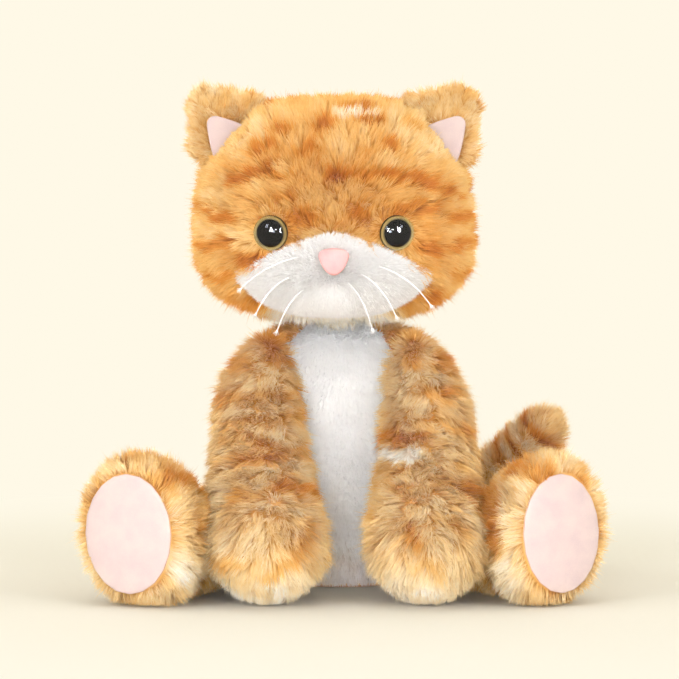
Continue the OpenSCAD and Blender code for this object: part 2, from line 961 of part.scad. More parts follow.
module tail_stuffing() {
    t = skin_t + lining_gap;
    ends = tail_poles(t);
    color(fluff)
    solid_of(inset(tail_rings, t), ends[0], ends[1]);
}

head_gusset();
head_side_left();
head_side_right();
head_stuffing();
muzzle_panel();
nose();
eye_lens_left();
eye_lens_right();
eye_iris_left();
eye_iris_right();
eye_pupil_left();
eye_pupil_right();
eye_washer_left();
eye_washer_right();
whisker_left_upper();
whisker_left_middle();
whisker_left_lower();
whisker_right_upper();
whisker_right_middle();
whisker_right_lower();
ear_back_left();
ear_back_right();
ear_lining_left();
ear_lining_right();
neck_plug();
belly_panel();
body_side_left();
body_side_right();
seat_panel();
body_stuffing();
pellet_bag();
arm_outer_left();
arm_inner_left();
arm_stuffing_left();
arm_outer_right();
arm_inner_right();
arm_stuffing_right();
leg_upper_left();
leg_lower_left();
sole_pad_left();
leg_stuffing_left();
leg_upper_right();
leg_lower_right();
sole_pad_right();
leg_stuffing_right();
tail_upper();
tail_under();
tail_stuffing();
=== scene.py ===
import json
import math

import bmesh
import bpy
import numpy as np
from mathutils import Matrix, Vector


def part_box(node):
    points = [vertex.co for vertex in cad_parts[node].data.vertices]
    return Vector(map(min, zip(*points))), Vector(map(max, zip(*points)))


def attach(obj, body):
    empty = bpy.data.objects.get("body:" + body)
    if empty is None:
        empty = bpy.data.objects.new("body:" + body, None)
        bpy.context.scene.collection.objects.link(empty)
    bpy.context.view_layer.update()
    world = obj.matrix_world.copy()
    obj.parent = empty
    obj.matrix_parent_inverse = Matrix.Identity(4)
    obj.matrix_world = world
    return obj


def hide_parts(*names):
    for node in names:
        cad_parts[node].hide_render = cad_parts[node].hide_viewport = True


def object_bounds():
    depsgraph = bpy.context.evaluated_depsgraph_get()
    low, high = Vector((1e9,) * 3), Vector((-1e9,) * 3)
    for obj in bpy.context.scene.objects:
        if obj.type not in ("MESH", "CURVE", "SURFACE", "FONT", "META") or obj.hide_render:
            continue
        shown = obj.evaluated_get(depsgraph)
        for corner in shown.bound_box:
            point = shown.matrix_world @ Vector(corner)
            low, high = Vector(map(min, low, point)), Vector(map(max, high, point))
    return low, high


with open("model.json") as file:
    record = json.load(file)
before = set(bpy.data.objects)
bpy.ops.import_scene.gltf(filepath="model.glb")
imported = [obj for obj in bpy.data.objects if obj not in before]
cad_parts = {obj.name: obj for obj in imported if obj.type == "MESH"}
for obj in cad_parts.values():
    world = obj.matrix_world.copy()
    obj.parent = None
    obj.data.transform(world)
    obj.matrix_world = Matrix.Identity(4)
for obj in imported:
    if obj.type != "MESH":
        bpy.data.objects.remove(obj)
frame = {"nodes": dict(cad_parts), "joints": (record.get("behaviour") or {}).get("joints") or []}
cad_box = [list(corner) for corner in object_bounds()]

# ---- Studio: a cream paper sweep, soft boxes at the left, right and front, and a fill from above.
# The paper runs out to the same cream as the air behind it, so that no edge of it shows.

MM = 0.001
PAPER = "#FFF9E7"


def linear(colour):
    """The linear red, green, blue and alpha of an sRGB hex colour."""
    parts = [int(colour[i : i + 2], 16) / 255 for i in (1, 3, 5)]
    return [p / 12.92 if p <= 0.04045 else ((p + 0.055) / 1.055) ** 2.4 for p in parts] + [1.0]


def add(tree, kind, sockets=None, **settings):
    """Adds a node. sockets maps an input's name or number to a value or to the output that feeds it."""
    node = tree.nodes.new(kind)
    for key, value in settings.items():
        setattr(node, key, value)
    for key, value in (sockets or {}).items():
        if isinstance(value, bpy.types.NodeSocket):
            tree.links.new(value, node.inputs[key])
        else:
            node.inputs[key].default_value = value
    return node


def finish_of(name, **surface):
    """A new material with its Principled shader set, as its node tree and shader."""
    material = bpy.data.materials.new(name)
    material.use_nodes = True
    shader = material.node_tree.nodes["Principled BSDF"]
    for key, value in surface.items():
        shader.inputs[key.replace("_", " ")].default_value = value
    return material, material.node_tree, shader


def mesh_piece(name, points, faces, material=None):
    """A smooth-shaded object of these points and faces, with its place in its mesh."""
    mesh = bpy.data.meshes.new(name)
    mesh.from_pydata([tuple(p) for p in points], [], [tuple(f) for f in faces])
    mesh.shade_smooth()
    piece = bpy.data.objects.new(name, mesh)
    bpy.context.scene.collection.objects.link(piece)
    if material:
        mesh.materials.append(material)
    return piece


bpy.context.scene.view_settings.view_transform = "Standard"
world = bpy.data.worlds.new("air")
world.use_nodes = True
world.node_tree.nodes["Background"].inputs["Color"].default_value = linear(PAPER)
world.node_tree.nodes["Background"].inputs["Strength"].default_value = 1.0
bpy.context.scene.world = world

# Matt paper near the toy takes its shadow, and further out it fades into the cream air.
paper, tree, shader = finish_of("paper_matt", Roughness=0.9)
shader.inputs["Specular IOR Level"].default_value = 0.1
shader.inputs["Base Color"].default_value = linear("#E6E3D9")
place = add(tree, "ShaderNodeTexCoord").outputs["Object"]
far = add(tree, "ShaderNodeVectorMath", {0: place}, operation="LENGTH").outputs["Value"]
fade = add(tree, "ShaderNodeMapRange", {0: far, 1: 0.16, 2: 0.45}, interpolation_type="SMOOTHSTEP")
glow = add(tree, "ShaderNodeEmission", {"Color": linear(PAPER), "Strength": 1.0})
mixed = add(tree, "ShaderNodeMixShader", {0: fade.outputs[0], 1: shader.outputs[0], 2: glow.outputs[0]})
tree.links.new(mixed.outputs[0], tree.nodes["Material Output"].inputs["Surface"])
SWEEP = 4.0
floor = mesh_piece(
    "paper_sweep",
    [(-SWEEP, -SWEEP, 0), (SWEEP, -SWEEP, 0), (SWEEP, SWEEP, 0), (-SWEEP, SWEEP, 0)],
    [(0, 1, 2, 3)],
    paper,
)


def soft_box(name, place, aim, width, height, power, colour="#FFFFFF"):
    """A rectangular soft box at place, turned to face aim."""
    light = bpy.data.lights.new(name, "AREA")
    light.shape = "RECTANGLE"
    light.size, light.size_y = width, height
    light.energy = power
    light.color = linear(colour)[:3]
    lamp = bpy.data.objects.new(name, light)
    lamp.location = place
    lamp.rotation_euler = (Vector(aim) - Vector(place)).to_track_quat("-Z", "Y").to_euler()
    bpy.context.scene.collection.objects.link(lamp)
    return lamp


soft_box("box_left", (-0.95, -1.15, 0.75), (0, 0, 0.12), 0.32, 0.42, 5, "#E6ECFC")
soft_box("box_right", (1.0, -1.1, 0.7), (0, 0, 0.12), 0.28, 0.36, 4, "#E6ECFC")
soft_box("box_top", (0.0, 0.15, 1.3), (0, 0, 0.1), 1.1, 0.9, 2, "#FFFFFF")
soft_box("box_front", (-0.25, -1.6, 0.16), (0, 0, 0.1), 0.3, 0.4, 6, "#E6ECFC")
# A gridded box lights the arms and the belly, which the head shades from above.
grid = soft_box("box_grid", (0.0, -1.5, 0.34), (0, 0, 0.082), 0.25, 0.25, 0.085, "#F6F2EE")
grid.data.spread = math.radians(10)
# Two tall windows show in the glossy eyes and do not light the cloth.
for name, x, y in (("window_left", -0.51, -1.41), ("window_right", 0.77, -1.29)):
    window = soft_box(name, (x, y, 0.34), (0, 0, 0.17), 0.32, 0.5, 70, "#F4F7FF")
    window.visible_diffuse = False

# The camera's distance, height and sideways place, and the height it looks at, in mm.
CAMERA_AWAY, CAMERA_HIGH, CAMERA_ASIDE, AIM_HIGH = 1500, 200, -0.75, 121.75
SENSOR = 36
eye_of_camera = bpy.data.cameras.new("camera")
eye_of_camera.sensor_width = SENSOR
eye_of_camera.lens = SENSOR * 2 * CAMERA_AWAY / 679
camera = bpy.data.objects.new("camera", eye_of_camera)
camera.location = (CAMERA_ASIDE * MM, -CAMERA_AWAY * MM, CAMERA_HIGH * MM)
aim = Vector((CAMERA_ASIDE * MM, 0, AIM_HIGH * MM)) - camera.location
camera.rotation_euler = aim.to_track_quat("-Z", "Y").to_euler()
bpy.context.scene.collection.objects.link(camera)
bpy.context.scene.camera = camera

# ---- Plush: a knitted backing that a long soft pile is woven through, printed with tabby bands.
# The tabby pile is about 10 mm long and the white one 4 to 5 mm. It lies down its nap in tufts.
# It is cut from polyester fibre finer than a hair, so each blade here stands for a wisp of it.

TABBY = [
    # share along the tones, colour at the tips, colour at the roots
    (0.0, "#FFFEFA", "#F3E6D6"),
    (0.14, "#FEF0D2", "#EFCF9A"),
    (0.30, "#FADFA6", "#E4B164"),
    (0.48, "#F4C878", "#D8973E"),
    (0.64, "#EAA748", "#C87C26"),
    (0.80, "#D9852B", "#A65C1A"),
    (1.0, "#AA5F20", "#763C13"),
]
# The white ramp's greyer and browner tones carry painted shade on the muzzle and the belly.
SNOW = [
    (0.0, "#FFFFFF", "#FBFBFC"),
    (0.5, "#F9F7F7", "#ECE8E6"),
    (1.0, "#E9DCD0", "#C4AB96"),
]
# Share of the tones that a wisp spans from side to side.
WISP_SIDES = 0.012


def plush(name, tones):
    """Plush whose pile reads its own UV map: across is the tone, up is root to tip."""
    material, tree, shader = finish_of(name, Roughness=0.75, Sheen_Weight=0.25, Sheen_Roughness=0.4)
    shader.inputs["Specular IOR Level"].default_value = 0.15
    cut = add(tree, "ShaderNodeSeparateXYZ", {0: add(tree, "ShaderNodeUVMap", uv_map="OFBake").outputs[0]})
    ramps = []
    for side in (1, 2):
        ramp = add(tree, "ShaderNodeValToRGB", {0: cut.outputs["X"]})
        stops = ramp.color_ramp.elements
        for k, row in enumerate(tones):
            stop = stops[k] if k < 2 else stops.new(row[0])
            stop.position = row[0]
            stop.color = linear(row[side])
        ramps.append(ramp.outputs["Color"])
    height = add(tree, "ShaderNodeMapRange", {0: cut.outputs["Y"], 1: 0.0, 2: 0.62})
    colour = add(tree, "ShaderNodeMix", {0: height.outputs[0], 6: ramps[1], 7: ramps[0]}, data_type="RGBA")
    tree.links.new(colour.outputs[2], shader.inputs["Base Color"])
    return material


plush_tabby = plush("plush_tabby_woven_pile", TABBY)
plush_white = plush("plush_white_woven_pile", SNOW)

# One wisp, a unit wide and high, that bends at its middle and narrows to a point.
wisp_rows = [(1.0, 0.0), (0.82, 0.52)]
wisp_points = [(s * w / 2, 0, h) for w, h in wisp_rows for s in (-1, 1)] + [(0, 0, 1)]
wisp = mesh_piece("wisp", wisp_points, [(0, 1, 3, 2), (2, 3, 4)])
for key, values in (
    ("along", [h for w, h in wisp_rows for s in (-1, 1)] + [1]),
    ("side", [s for w, h in wisp_rows for s in (-1, 1)] + [0]),
):
    wisp.data.attributes.new(key, "FLOAT", "POINT").data.foreach_set("value", values)
wisp.data.shade_flat()

PILE_INPUTS = [
    ("Density", "NodeSocketFloat"),
    ("Length", "NodeSocketFloat"),
    ("Width", "NodeSocketFloat"),
    ("Rise", "NodeSocketFloat"),
    ("Tuft", "NodeSocketFloat"),
    ("Gather", "NodeSocketFloat"),
    ("Ruffle", "NodeSocketFloat"),
    ("Droop", "NodeSocketFloat"),
    ("Seed", "NodeSocketInt"),
    ("Plush", "NodeSocketMaterial"),
]
pile = bpy.data.node_groups.new("pile", "GeometryNodeTree")
pile.interface.new_socket("Geometry", in_out="INPUT", socket_type="NodeSocketGeometry")
for label, kind in PILE_INPUTS:
    pile.interface.new_socket(label, in_out="INPUT", socket_type=kind)
pile.interface.new_socket("Geometry", in_out="OUTPUT", socket_type="NodeSocketGeometry")


# How far the pile may stand past the front and back of the solids, and its least height, in mm.
PILE_FRONT, PILE_BACK, PILE_LOW = 5.5, 9.5, 0.4


def grow_pile(tree):
    """Builds the tree that roots wisps on a backing, lays them down the nap and gathers them in tufts."""
    given = add(tree, "NodeGroupInput").outputs

    def named(key, kind="FLOAT"):
        return add(tree, "GeometryNodeInputNamedAttribute", {0: key}, data_type=kind).outputs[0]

    def vector(operation, *values, scale=None):
        sockets = dict(enumerate(values))
        if scale is not None:
            sockets["Scale"] = scale
        node = add(tree, "ShaderNodeVectorMath", sockets, operation=operation)
        return node.outputs["Value" if operation == "DOT_PRODUCT" else "Vector"]

    def sum_of(operation, *values):
        return add(tree, "ShaderNodeMath", dict(enumerate(values)), operation=operation).outputs[0]

    def chance(seed, low, high, kind="FLOAT"):
        first = {"FLOAT": 2, "FLOAT_VECTOR": 0}[kind]
        node = add(
            tree,
            "FunctionNodeRandomValue",
            {first: low, first + 1: high, 8: sum_of("ADD", given["Seed"], float(seed))},
            data_type=kind,
        )
        return node.outputs[{"FLOAT": 1, "FLOAT_VECTOR": 0}[kind]]

    def keep(geometry, key, value, kind="FLOAT", domain="POINT"):
        sockets = {"Geometry": geometry, "Name": key, "Value": value}
        node = add(tree, "GeometryNodeStoreNamedAttribute", sockets, data_type=kind, domain=domain)
        return node.outputs[0]

    density = sum_of("MULTIPLY", given["Density"], named("thick"))
    roots = add(
        tree,
        "GeometryNodeDistributePointsOnFaces",
        {"Mesh": given["Geometry"], "Density": density, "Seed": given["Seed"]},
        distribute_method="RANDOM",
    ).outputs["Points"]
    here = add(tree, "GeometryNodeInputPosition").outputs[0]
    up = vector("NORMALIZE", named("up", "FLOAT_VECTOR"))
    cell = add(
        tree,
        "ShaderNodeTexVoronoi",
        {"Vector": here, "Scale": sum_of("DIVIDE", 1.0, given["Tuft"]), "Detail": 0.0},
        voronoi_dimensions="3D",
    ).outputs
    own = vector("SUBTRACT", cell["Color"], (0.5, 0.5, 0.5))
    stray = chance(1, (-0.5,) * 3, (0.5,) * 3, "FLOAT_VECTOR")
    swirl = add(tree, "ShaderNodeTexNoise", {"Vector": here, "Scale": 60.0, "Detail": 1.0}).outputs["Color"]
    swirl = vector("SUBTRACT", swirl, (0.5, 0.5, 0.5))
    way = vector("ADD", named("nap", "FLOAT_VECTOR"), vector("SCALE", up, scale=given["Rise"]))
    way = vector("ADD", way, vector("SCALE", own, scale=given["Ruffle"]))
    way = vector("ADD", way, vector("SCALE", swirl, scale=sum_of("MULTIPLY", given["Ruffle"], 1.6)))
    way = vector("ADD", way, vector("SCALE", stray, scale=0.55))
    flat = vector("DOT_PRODUCT", way, up)
    lift = sum_of("MAXIMUM", sum_of("SUBTRACT", 0.3, flat), 0.0)
    way = vector("NORMALIZE", vector("ADD", way, vector("SCALE", up, scale=lift)))
    long = sum_of("MULTIPLY", given["Length"], named("long"))
    long = sum_of("MULTIPLY", long, chance(2, 0.55, 1.1))
    wild = sum_of("GREATER_THAN", chance(3, 0.0, 1.0), 0.965)
    long = sum_of("MULTIPLY", long, sum_of("MULTIPLY_ADD", wild, 0.4, 1.0))
    wide = sum_of("MULTIPLY", given["Width"], sum_of("MULTIPLY_ADD", wild, -0.45, 1.0))
    wide = sum_of("MULTIPLY", wide, chance(4, 0.7, 1.25))
    tone = sum_of("ADD", named("tone"), chance(5, -0.06, 0.06))
    tone = sum_of("ADD", tone, sum_of("MULTIPLY", vector("DOT_PRODUCT", own, (1.0, 0.0, 0.0)), 0.11))
    tone = sum_of("MINIMUM", sum_of("MAXIMUM", tone, 0.02), 0.98)
    gather = sum_of("MULTIPLY", given["Gather"], sum_of("SUBTRACT", 1.0, wild))
    pull = vector("SUBTRACT", cell["Position"], here)
    pull = vector("SUBTRACT", pull, vector("SCALE", up, scale=vector("DOT_PRODUCT", pull, up)))
    pull = vector("SCALE", pull, scale=gather)
    roots = keep(roots, "wisp_tone", tone)
    roots = keep(roots, "wisp_pull", pull, "FLOAT_VECTOR")
    fallen = sum_of("MULTIPLY", long, given["Droop"])
    drop = vector("SCALE", vector("ADD", up, (0.0, 0.0, 0.6)), scale=fallen)
    roots = keep(roots, "wisp_drop", drop, "FLOAT_VECTOR")
    across = vector("CROSS_PRODUCT", up, way)
    turn = add(
        tree, "FunctionNodeAxesToRotation", {0: way, 1: across}, primary_axis="Z", secondary_axis="X"
    ).outputs[0]
    spin = {0: (0, 0, 1), 1: chance(6, -0.7, 0.7)}
    twist = add(tree, "FunctionNodeAxisAngleToRotation", spin).outputs[0]
    turn = add(tree, "FunctionNodeRotateRotation", {0: turn, 1: twist}, rotation_space="LOCAL").outputs[0]
    size = add(tree, "ShaderNodeCombineXYZ", {0: wide, 1: 1.0, 2: long}).outputs[0]
    blade = add(tree, "GeometryNodeObjectInfo", {0: wisp}, transform_space="ORIGINAL").outputs["Geometry"]
    wisps = add(
        tree,
        "GeometryNodeInstanceOnPoints",
        {"Points": roots, "Instance": blade, "Rotation": turn, "Scale": size},
    ).outputs[0]
    wisps = add(tree, "GeometryNodeRealizeInstances", {0: wisps}).outputs[0]
    along = named("along")
    bend = vector("SCALE", named("wisp_pull", "FLOAT_VECTOR"), scale=sum_of("POWER", along, 1.5))
    fall = vector("SCALE", named("wisp_drop", "FLOAT_VECTOR"), scale=sum_of("POWER", along, 2.0))
    wisps = add(
        tree, "GeometryNodeSetPosition", {"Geometry": wisps, "Offset": vector("SUBTRACT", bend, fall)}
    ).outputs[0]
    across = sum_of("MULTIPLY_ADD", named("side"), WISP_SIDES, named("wisp_tone"))
    strip = add(tree, "ShaderNodeCombineXYZ", {0: across, 1: sum_of("MULTIPLY_ADD", along, 0.9, 0.05)})
    wisps = keep(wisps, "OFBake", strip.outputs[0], "FLOAT2", "CORNER")
    # The backing takes the pile's darker root colours, as painted shade in the gaps between wisps.
    speck = chance(7, 0.0, 0.02)
    speck_up = chance(8, 0.0, 0.04)
    ground = add(tree, "ShaderNodeCombineXYZ", {0: sum_of("ADD", named("tone"), speck), 1: speck_up})
    backing = keep(given["Geometry"], "OFBake", ground.outputs[0], "FLOAT2", "CORNER")
    both = add(tree, "GeometryNodeJoinGeometry")
    tree.links.new(wisps, both.inputs[0])
    tree.links.new(backing, both.inputs[0])
    rest_on = vector("MAXIMUM", here, (-9.0, cad_box[0][1] - PILE_FRONT * MM, PILE_LOW * MM))
    rest_on = vector("MINIMUM", rest_on, (9.0, cad_box[1][1] + PILE_BACK * MM, 9.0))
    held = add(tree, "GeometryNodeSetPosition", {"Geometry": both.outputs[0], "Position": rest_on})
    whole = add(tree, "GeometryNodeRealizeInstances", {0: held.outputs[0]})
    dyed = add(tree, "GeometryNodeSetMaterial", {"Geometry": whole.outputs[0], "Material": given["Plush"]})
    add(tree, "NodeGroupOutput", {0: dyed.outputs[0]})


grow_pile(pile)


def stuffed(nodes, swell, levels=2):
    """Points, faces and outward directions of a smooth copy of CAD solids, swollen by swell mm."""
    shell = bmesh.new()
    for node in nodes:
        shell.from_mesh(frame["nodes"][node].data)
    bmesh.ops.remove_doubles(shell, verts=shell.verts, dist=0.02 * MM)
    if len(nodes) > 1:
        low = min(v.co.z for v in shell.verts)
        level = [f for f in shell.faces if abs(f.normal.z) > 0.999]
        level = [f for f in level if f.calc_center_median().z > low + 0.01]
        high = max(v.co.z for v in shell.verts)
        inner = [f for f in level if f.calc_center_median().z < high - 0.01]
        bmesh.ops.delete(shell, geom=inner, context="FACES")
    bmesh.ops.join_triangles(
        shell, faces=shell.faces, angle_face_threshold=0.9, angle_shape_threshold=1.2
    )
    mesh = bpy.data.meshes.new("shell")
    shell.to_mesh(mesh)
    shell.free()
    piece = bpy.data.objects.new("shell", mesh)
    bpy.context.scene.collection.objects.link(piece)
    rounder = piece.modifiers.new("rounder", "SUBSURF")
    rounder.levels = rounder.render_levels = levels
    done = bpy.data.meshes.new_from_object(piece.evaluated_get(bpy.context.evaluated_depsgraph_get()))
    points = np.empty(len(done.vertices) * 3)
    done.vertices.foreach_get("co", points)
    up = np.empty(len(done.vertices) * 3)
    done.vertex_normals.foreach_get("vector", up)
    points, up = points.reshape(-1, 3) / MM, up.reshape(-1, 3)
    faces = [tuple(f.vertices) for f in done.polygons]
    bpy.data.objects.remove(piece)
    return points + swell * up, faces, up


def reshaped(shape, points):
    """The same shape with its points moved, and its outward directions taken again."""
    mesh = bpy.data.meshes.new("shell")
    mesh.from_pydata([tuple(p) for p in points * MM], [], shape[1])
    up = np.empty(len(points) * 3)
    mesh.vertex_normals.foreach_get("vector", up)
    bpy.data.meshes.remove(mesh)
    return points, shape[1], up.reshape(-1, 3)


def tangent(way, up):
    """The part of each way that lies along the surface, a unit long."""
    way = way - (way * up).sum(1, keepdims=True) * up
    return way / np.maximum(np.linalg.norm(way, axis=1, keepdims=True), 1e-6)


def ripple(points, size, seed=0):
    """A smooth random value from -1 to 1 at each point, that changes over size mm."""
    draw = np.random.default_rng(seed)
    total = np.zeros(len(points))
    for _ in range(10):
        way = draw.normal(size=3)
        way /= np.linalg.norm(way)
        total += np.sin(points @ way * draw.uniform(0.7, 1.5) * 2 * math.pi / size + draw.uniform(0, 6.28))
    return total / 3.2


def smoothstep(low, high, value):
    """A share that rises smoothly from 0 at low to 1 at high."""
    share = np.clip((value - low) / (high - low), 0, 1)
    return share * share * (3 - 2 * share)


def fur(name, body, replaced, shape, nap, tone, plush, density, length, seed,
        width=0.42, rise=1.15, tuft=5.5, gather=0.32, ruffle=0.8, droop=0.08,
        thick=None, long=None, chosen=None):
    """Grows the pile on one panel of a stuffed shape, and fixes the panel to its body."""
    points, faces, up = shape
    if chosen is not None:
        centres = np.array([points[list(f)].mean(0) for f in faces])
        faces = [f for f, wanted in zip(faces, chosen(centres)) if wanted]
    used = np.unique(np.concatenate([np.array(f) for f in faces]))
    place = np.full(len(points), -1)
    place[used] = np.arange(len(used))
    spots = points[used]
    panel = mesh_piece(name, spots * MM, [place[list(f)] for f in faces])
    count = len(used)
    values = {
        "up": up[used],
        "nap": nap[used],
        "tone": tone[used],
        "thick": np.ones(count) if thick is None else thick[used],
        "long": np.ones(count) if long is None else long[used],
    }
    for key, value in values.items():
        kind = "FLOAT_VECTOR" if value.ndim == 2 else "FLOAT"
        attribute = panel.data.attributes.new(key, kind, "POINT")
        field = "vector" if value.ndim == 2 else "value"
        attribute.data.foreach_set(field, value.astype(np.float32).ravel())
    maker = panel.modifiers.new("pile", "NODES")
    maker.node_group = pile
    given = dict(
        Density=density * 1e6, Length=length * MM, Width=width * MM, Rise=rise, Tuft=tuft * MM,
        Gather=gather, Ruffle=ruffle, Droop=droop, Seed=seed, Plush=plush,
    )
    for socket in pile.interface.items_tree:
        if socket.name in given:
            maker[socket.identifier] = given[socket.name]
    grown = bpy.data.meshes.new_from_object(panel.evaluated_get(bpy.context.evaluated_depsgraph_get()))
    panel.modifiers.remove(maker)
    panel.data = grown
    for key in (*values, "along", "side", "wisp_tone", "wisp_pull", "wisp_drop"):
        if key in grown.attributes:
            grown.attributes.remove(grown.attributes[key])
    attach(panel, body)
    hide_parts(*replaced)


def strokes(points, rows):
    """How strongly strokes cover each point. A row is two ends across and up, half width, strength."""
    total = np.zeros(len(points))
    spot = points[:, [0, 2]]
    for x0, z0, x1, z1, half, strength in rows:
        start, line = np.array([x0, z0]), np.array([x1 - x0, z1 - z0])
        share = np.clip(((spot - start) @ line) / (line @ line), 0, 1)
        away = np.linalg.norm(spot - start - share[:, None] * line, axis=1)
        total = np.maximum(total, strength * (1 - smoothstep(half * 0.4, half * 1.4, away)))
    return total


# ---- Head: a centre gusset from nose to nape between two side panels, firmly stuffed.
# The nap is brushed outwards from the bridge of the nose, and back and down behind the ears.

head = stuffed(["head_stuffing"], 1.3)
spots, _, up = head
# The middle of the face, the gusset's two seams and the spacing of the bands behind, in mm.
HEAD_X, SEAM_LEFT, SEAM_RIGHT, HEAD_BAND = -3.5, -36.2, 29.2, 21
bridge = np.array([HEAD_X, -60.0, 162.0])
behind = smoothstep(-15, 35, spots[:, 1])
nap = tangent(spots - bridge, up) * (1 - behind)[:, None]
nap += tangent(np.array([[0, 0.35, -1.0]]) + 0 * spots, up) * behind[:, None]
front = 1 - smoothstep(-22, 2, spots[:, 1])

MARKS = [
    # brows and the long line across the forehead
    (-49, 199, -32, 205, 2.6, 0.40), (-32, 205, -25, 201.5, 2.2, 0.34),
    (-5, 202, 41, 200, 2.4, 0.30), (36, 197, 53, 192, 2.4, 0.30),
    # short marks above them
    (-29, 222, -25, 222, 3.0, 0.30), (-40, 214, -34, 214, 3.2, 0.26), (-40, 235, -35, 235, 3.0, 0.30),
    (2, 233, 10, 233, 2.6, 0.26), (8, 225, 18, 225, 2.0, 0.34), (21, 216, 27, 216, 3.0, 0.28),
    (-8, 225, -3, 225, 3.2, 0.28), (-20, 212, -12, 214, 2.6, 0.20), (30, 226, 36, 224, 2.6, 0.22),
    (-12, 238, -2, 240, 2.4, 0.22), (16, 240, 24, 238, 2.4, 0.20), (-30, 190, -22, 192, 2.6, 0.18),
    # beside the bridge of the nose and round the eyes
    (-25, 181, -13, 181, 3.6, 0.22), (4, 183, 13, 183, 3.4, 0.22), (28, 187, 41, 187, 2.8, 0.26),
    (36, 169, 43, 169, 3.0, 0.24), (-44, 165, -32, 165, 3.2, 0.34),
    # cheeks and jaw
    (-68, 187, -49, 180, 2.6, 0.34), (-68, 171, -50, 170.6, 2.6, 0.32), (48, 181, 66, 184, 2.6, 0.30),
    (50, 170, 64, 170, 2.4, 0.24), (-54, 141, -44, 141, 4.5, 0.34), (43, 144.5, 53, 144.5, 4.5, 0.34),
    (-66, 156, -52, 157, 2.6, 0.24), (50, 157, 64, 156, 2.6, 0.24),
]
WHITE_HAIRS = [(-3, 229, 16, 229.5, 1.8, 0.5)]
EAR_MIDDLES = [(-52, 232), (46, 232)]
LINING_MIDDLES = [(-54, 221), (49.5, 221)]
wave = ripple(spots, 46, 3)
head_tone = 0.53 + 0.05 * wave + 0.05 * ripple(spots, 14, 4)
head_tone = head_tone + front * strokes(spots + ripple(spots, 18, 5)[:, None] * 1.2, MARKS)
head_tone -= front * strokes(spots, WHITE_HAIRS)
for x, z in EAR_MIDDLES:
    away = np.hypot(spots[:, 0] - x, spots[:, 2] - z)
    head_tone -= 0.14 * (1 - smoothstep(16, 30, away)) * front
# hair is clipped short where it would hide an ear lining
ear_trim = np.zeros(len(spots))
for x, z in LINING_MIDDLES:
    away = np.hypot(spots[:, 0] - x, spots[:, 2] - z)
    ear_trim = np.maximum(ear_trim, 1 - smoothstep(8, 17, away))
rim = np.abs(spots[:, 0] - HEAD_X) / 66
head_tone -= 0.07 * smoothstep(0.55, 0.95, rim) * front
# behind, bands run from the crown down to the nape
bands = np.sin((spots[:, 2] + 5 * np.cos(spots[:, 0] / 17) + 3 * wave) * 2 * math.pi / HEAD_BAND)
head_tone += (1 - front) * 0.26 * smoothstep(0.35, 0.95, bands)

chin = smoothstep(143, 137, spots[:, 2]) * smoothstep(36, 28, np.abs(spots[:, 0] - HEAD_X))
chin = chin * smoothstep(14, 4, spots[:, 1])
head_tone = head_tone * (1 - chin) + 0.02 * chin

muzzle_low, muzzle_high = (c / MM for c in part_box("muzzle_panel"))
eyes = {}
for side in ("left", "right"):
    low, high = (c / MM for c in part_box(f"eye_iris_{side}"))
    eyes[side] = np.array((low + high) / 2)
head_thick = np.ones(len(spots))
head_long = (1 - 0.6 * ear_trim) * (
    1 - 0.25 * front * (1 - smoothstep(20, 46, np.hypot(spots[:, 0] - HEAD_X, spots[:, 2] - 168)))
)
for middle in eyes.values():
    out = spots - middle
    away = np.linalg.norm(out, axis=1)
    near = 1 - smoothstep(9, 19, away)
    nap = nap * (1 - near)[:, None] + 1.5 * tangent(out, up) * near[:, None]
    head_thick *= smoothstep(6.3, 7.6, away)
    head_long *= 1 - 0.45 * (1 - smoothstep(9, 17, away))
across = spots[:, 0] - (muzzle_low[0] + muzzle_high[0]) / 2
muzzle_wide = (muzzle_high[0] - muzzle_low[0]) / 2
top_edge = muzzle_high[2] - 20 * np.clip(np.abs(across) / muzzle_wide, 0, 1) ** 1.3
low_edge = muzzle_low[2] + 18 * np.clip(np.abs(across) / muzzle_wide, 0, 1) ** 3
under = (np.abs(across) < muzzle_wide - 3) & (spots[:, 2] < top_edge - 2.5) & (spots[:, 2] > low_edge + 2)
head_thick[under & (spots[:, 1] < -10)] = 0

HEAD_PANELS = {
    "head_gusset_plush": (
        ["head_gusset", "head_stuffing"],
        lambda c: (c[:, 0] > SEAM_LEFT) & (c[:, 0] < SEAM_RIGHT),
    ),
    "head_side_plush_left": (["head_side_left"], lambda c: c[:, 0] <= SEAM_LEFT),
    "head_side_plush_right": (["head_side_right"], lambda c: c[:, 0] >= SEAM_RIGHT),
}
for k, (name, (replaced, chosen)) in enumerate(HEAD_PANELS.items()):
    fur(name, "head", replaced, head, nap, head_tone, plush_tabby,
        density=3.3, length=10, seed=11 + k, thick=head_thick, long=head_long, chosen=chosen)

# ---- Muzzle: a puffed white panel under the eyes, in plush with a shorter and denser pile.

muzzle = stuffed(["muzzle_panel"], -1.4)
spots, _, up = muzzle
nose_at = np.array([HEAD_X, -62.0, 138.0])
flow = spots - nose_at + np.array([0, 0, -6.0])
nap = tangent(flow, up)
# Painted shade: the white muzzle greys towards its bottom, below the nose.
muzzle_tone_and_shade = 0.26 + 0.05 * ripple(spots, 12, 21) + 0.22 * smoothstep(150, 128, spots[:, 2])
muzzle_long = 1 - 0.3 * smoothstep(34, 10, np.hypot(spots[:, 0] - HEAD_X, spots[:, 2] - 160))
fur("muzzle_plush", "head", ["muzzle_panel"], muzzle, nap, muzzle_tone_and_shade, plush_white,
    density=11, length=4.2, seed=31, width=0.30, rise=1.7, tuft=3.0, gather=0.15, ruffle=0.3,
    droop=0.06, thick=(up[:, 1] < 0.2).astype(float), long=muzzle_long)

# ---- Velour parts: the nose, both ear linings, both soles and the seat, cut from a short-nap knit.
# Each is a flat cut panel, turned under at its edge and sewn down over the filling behind it.


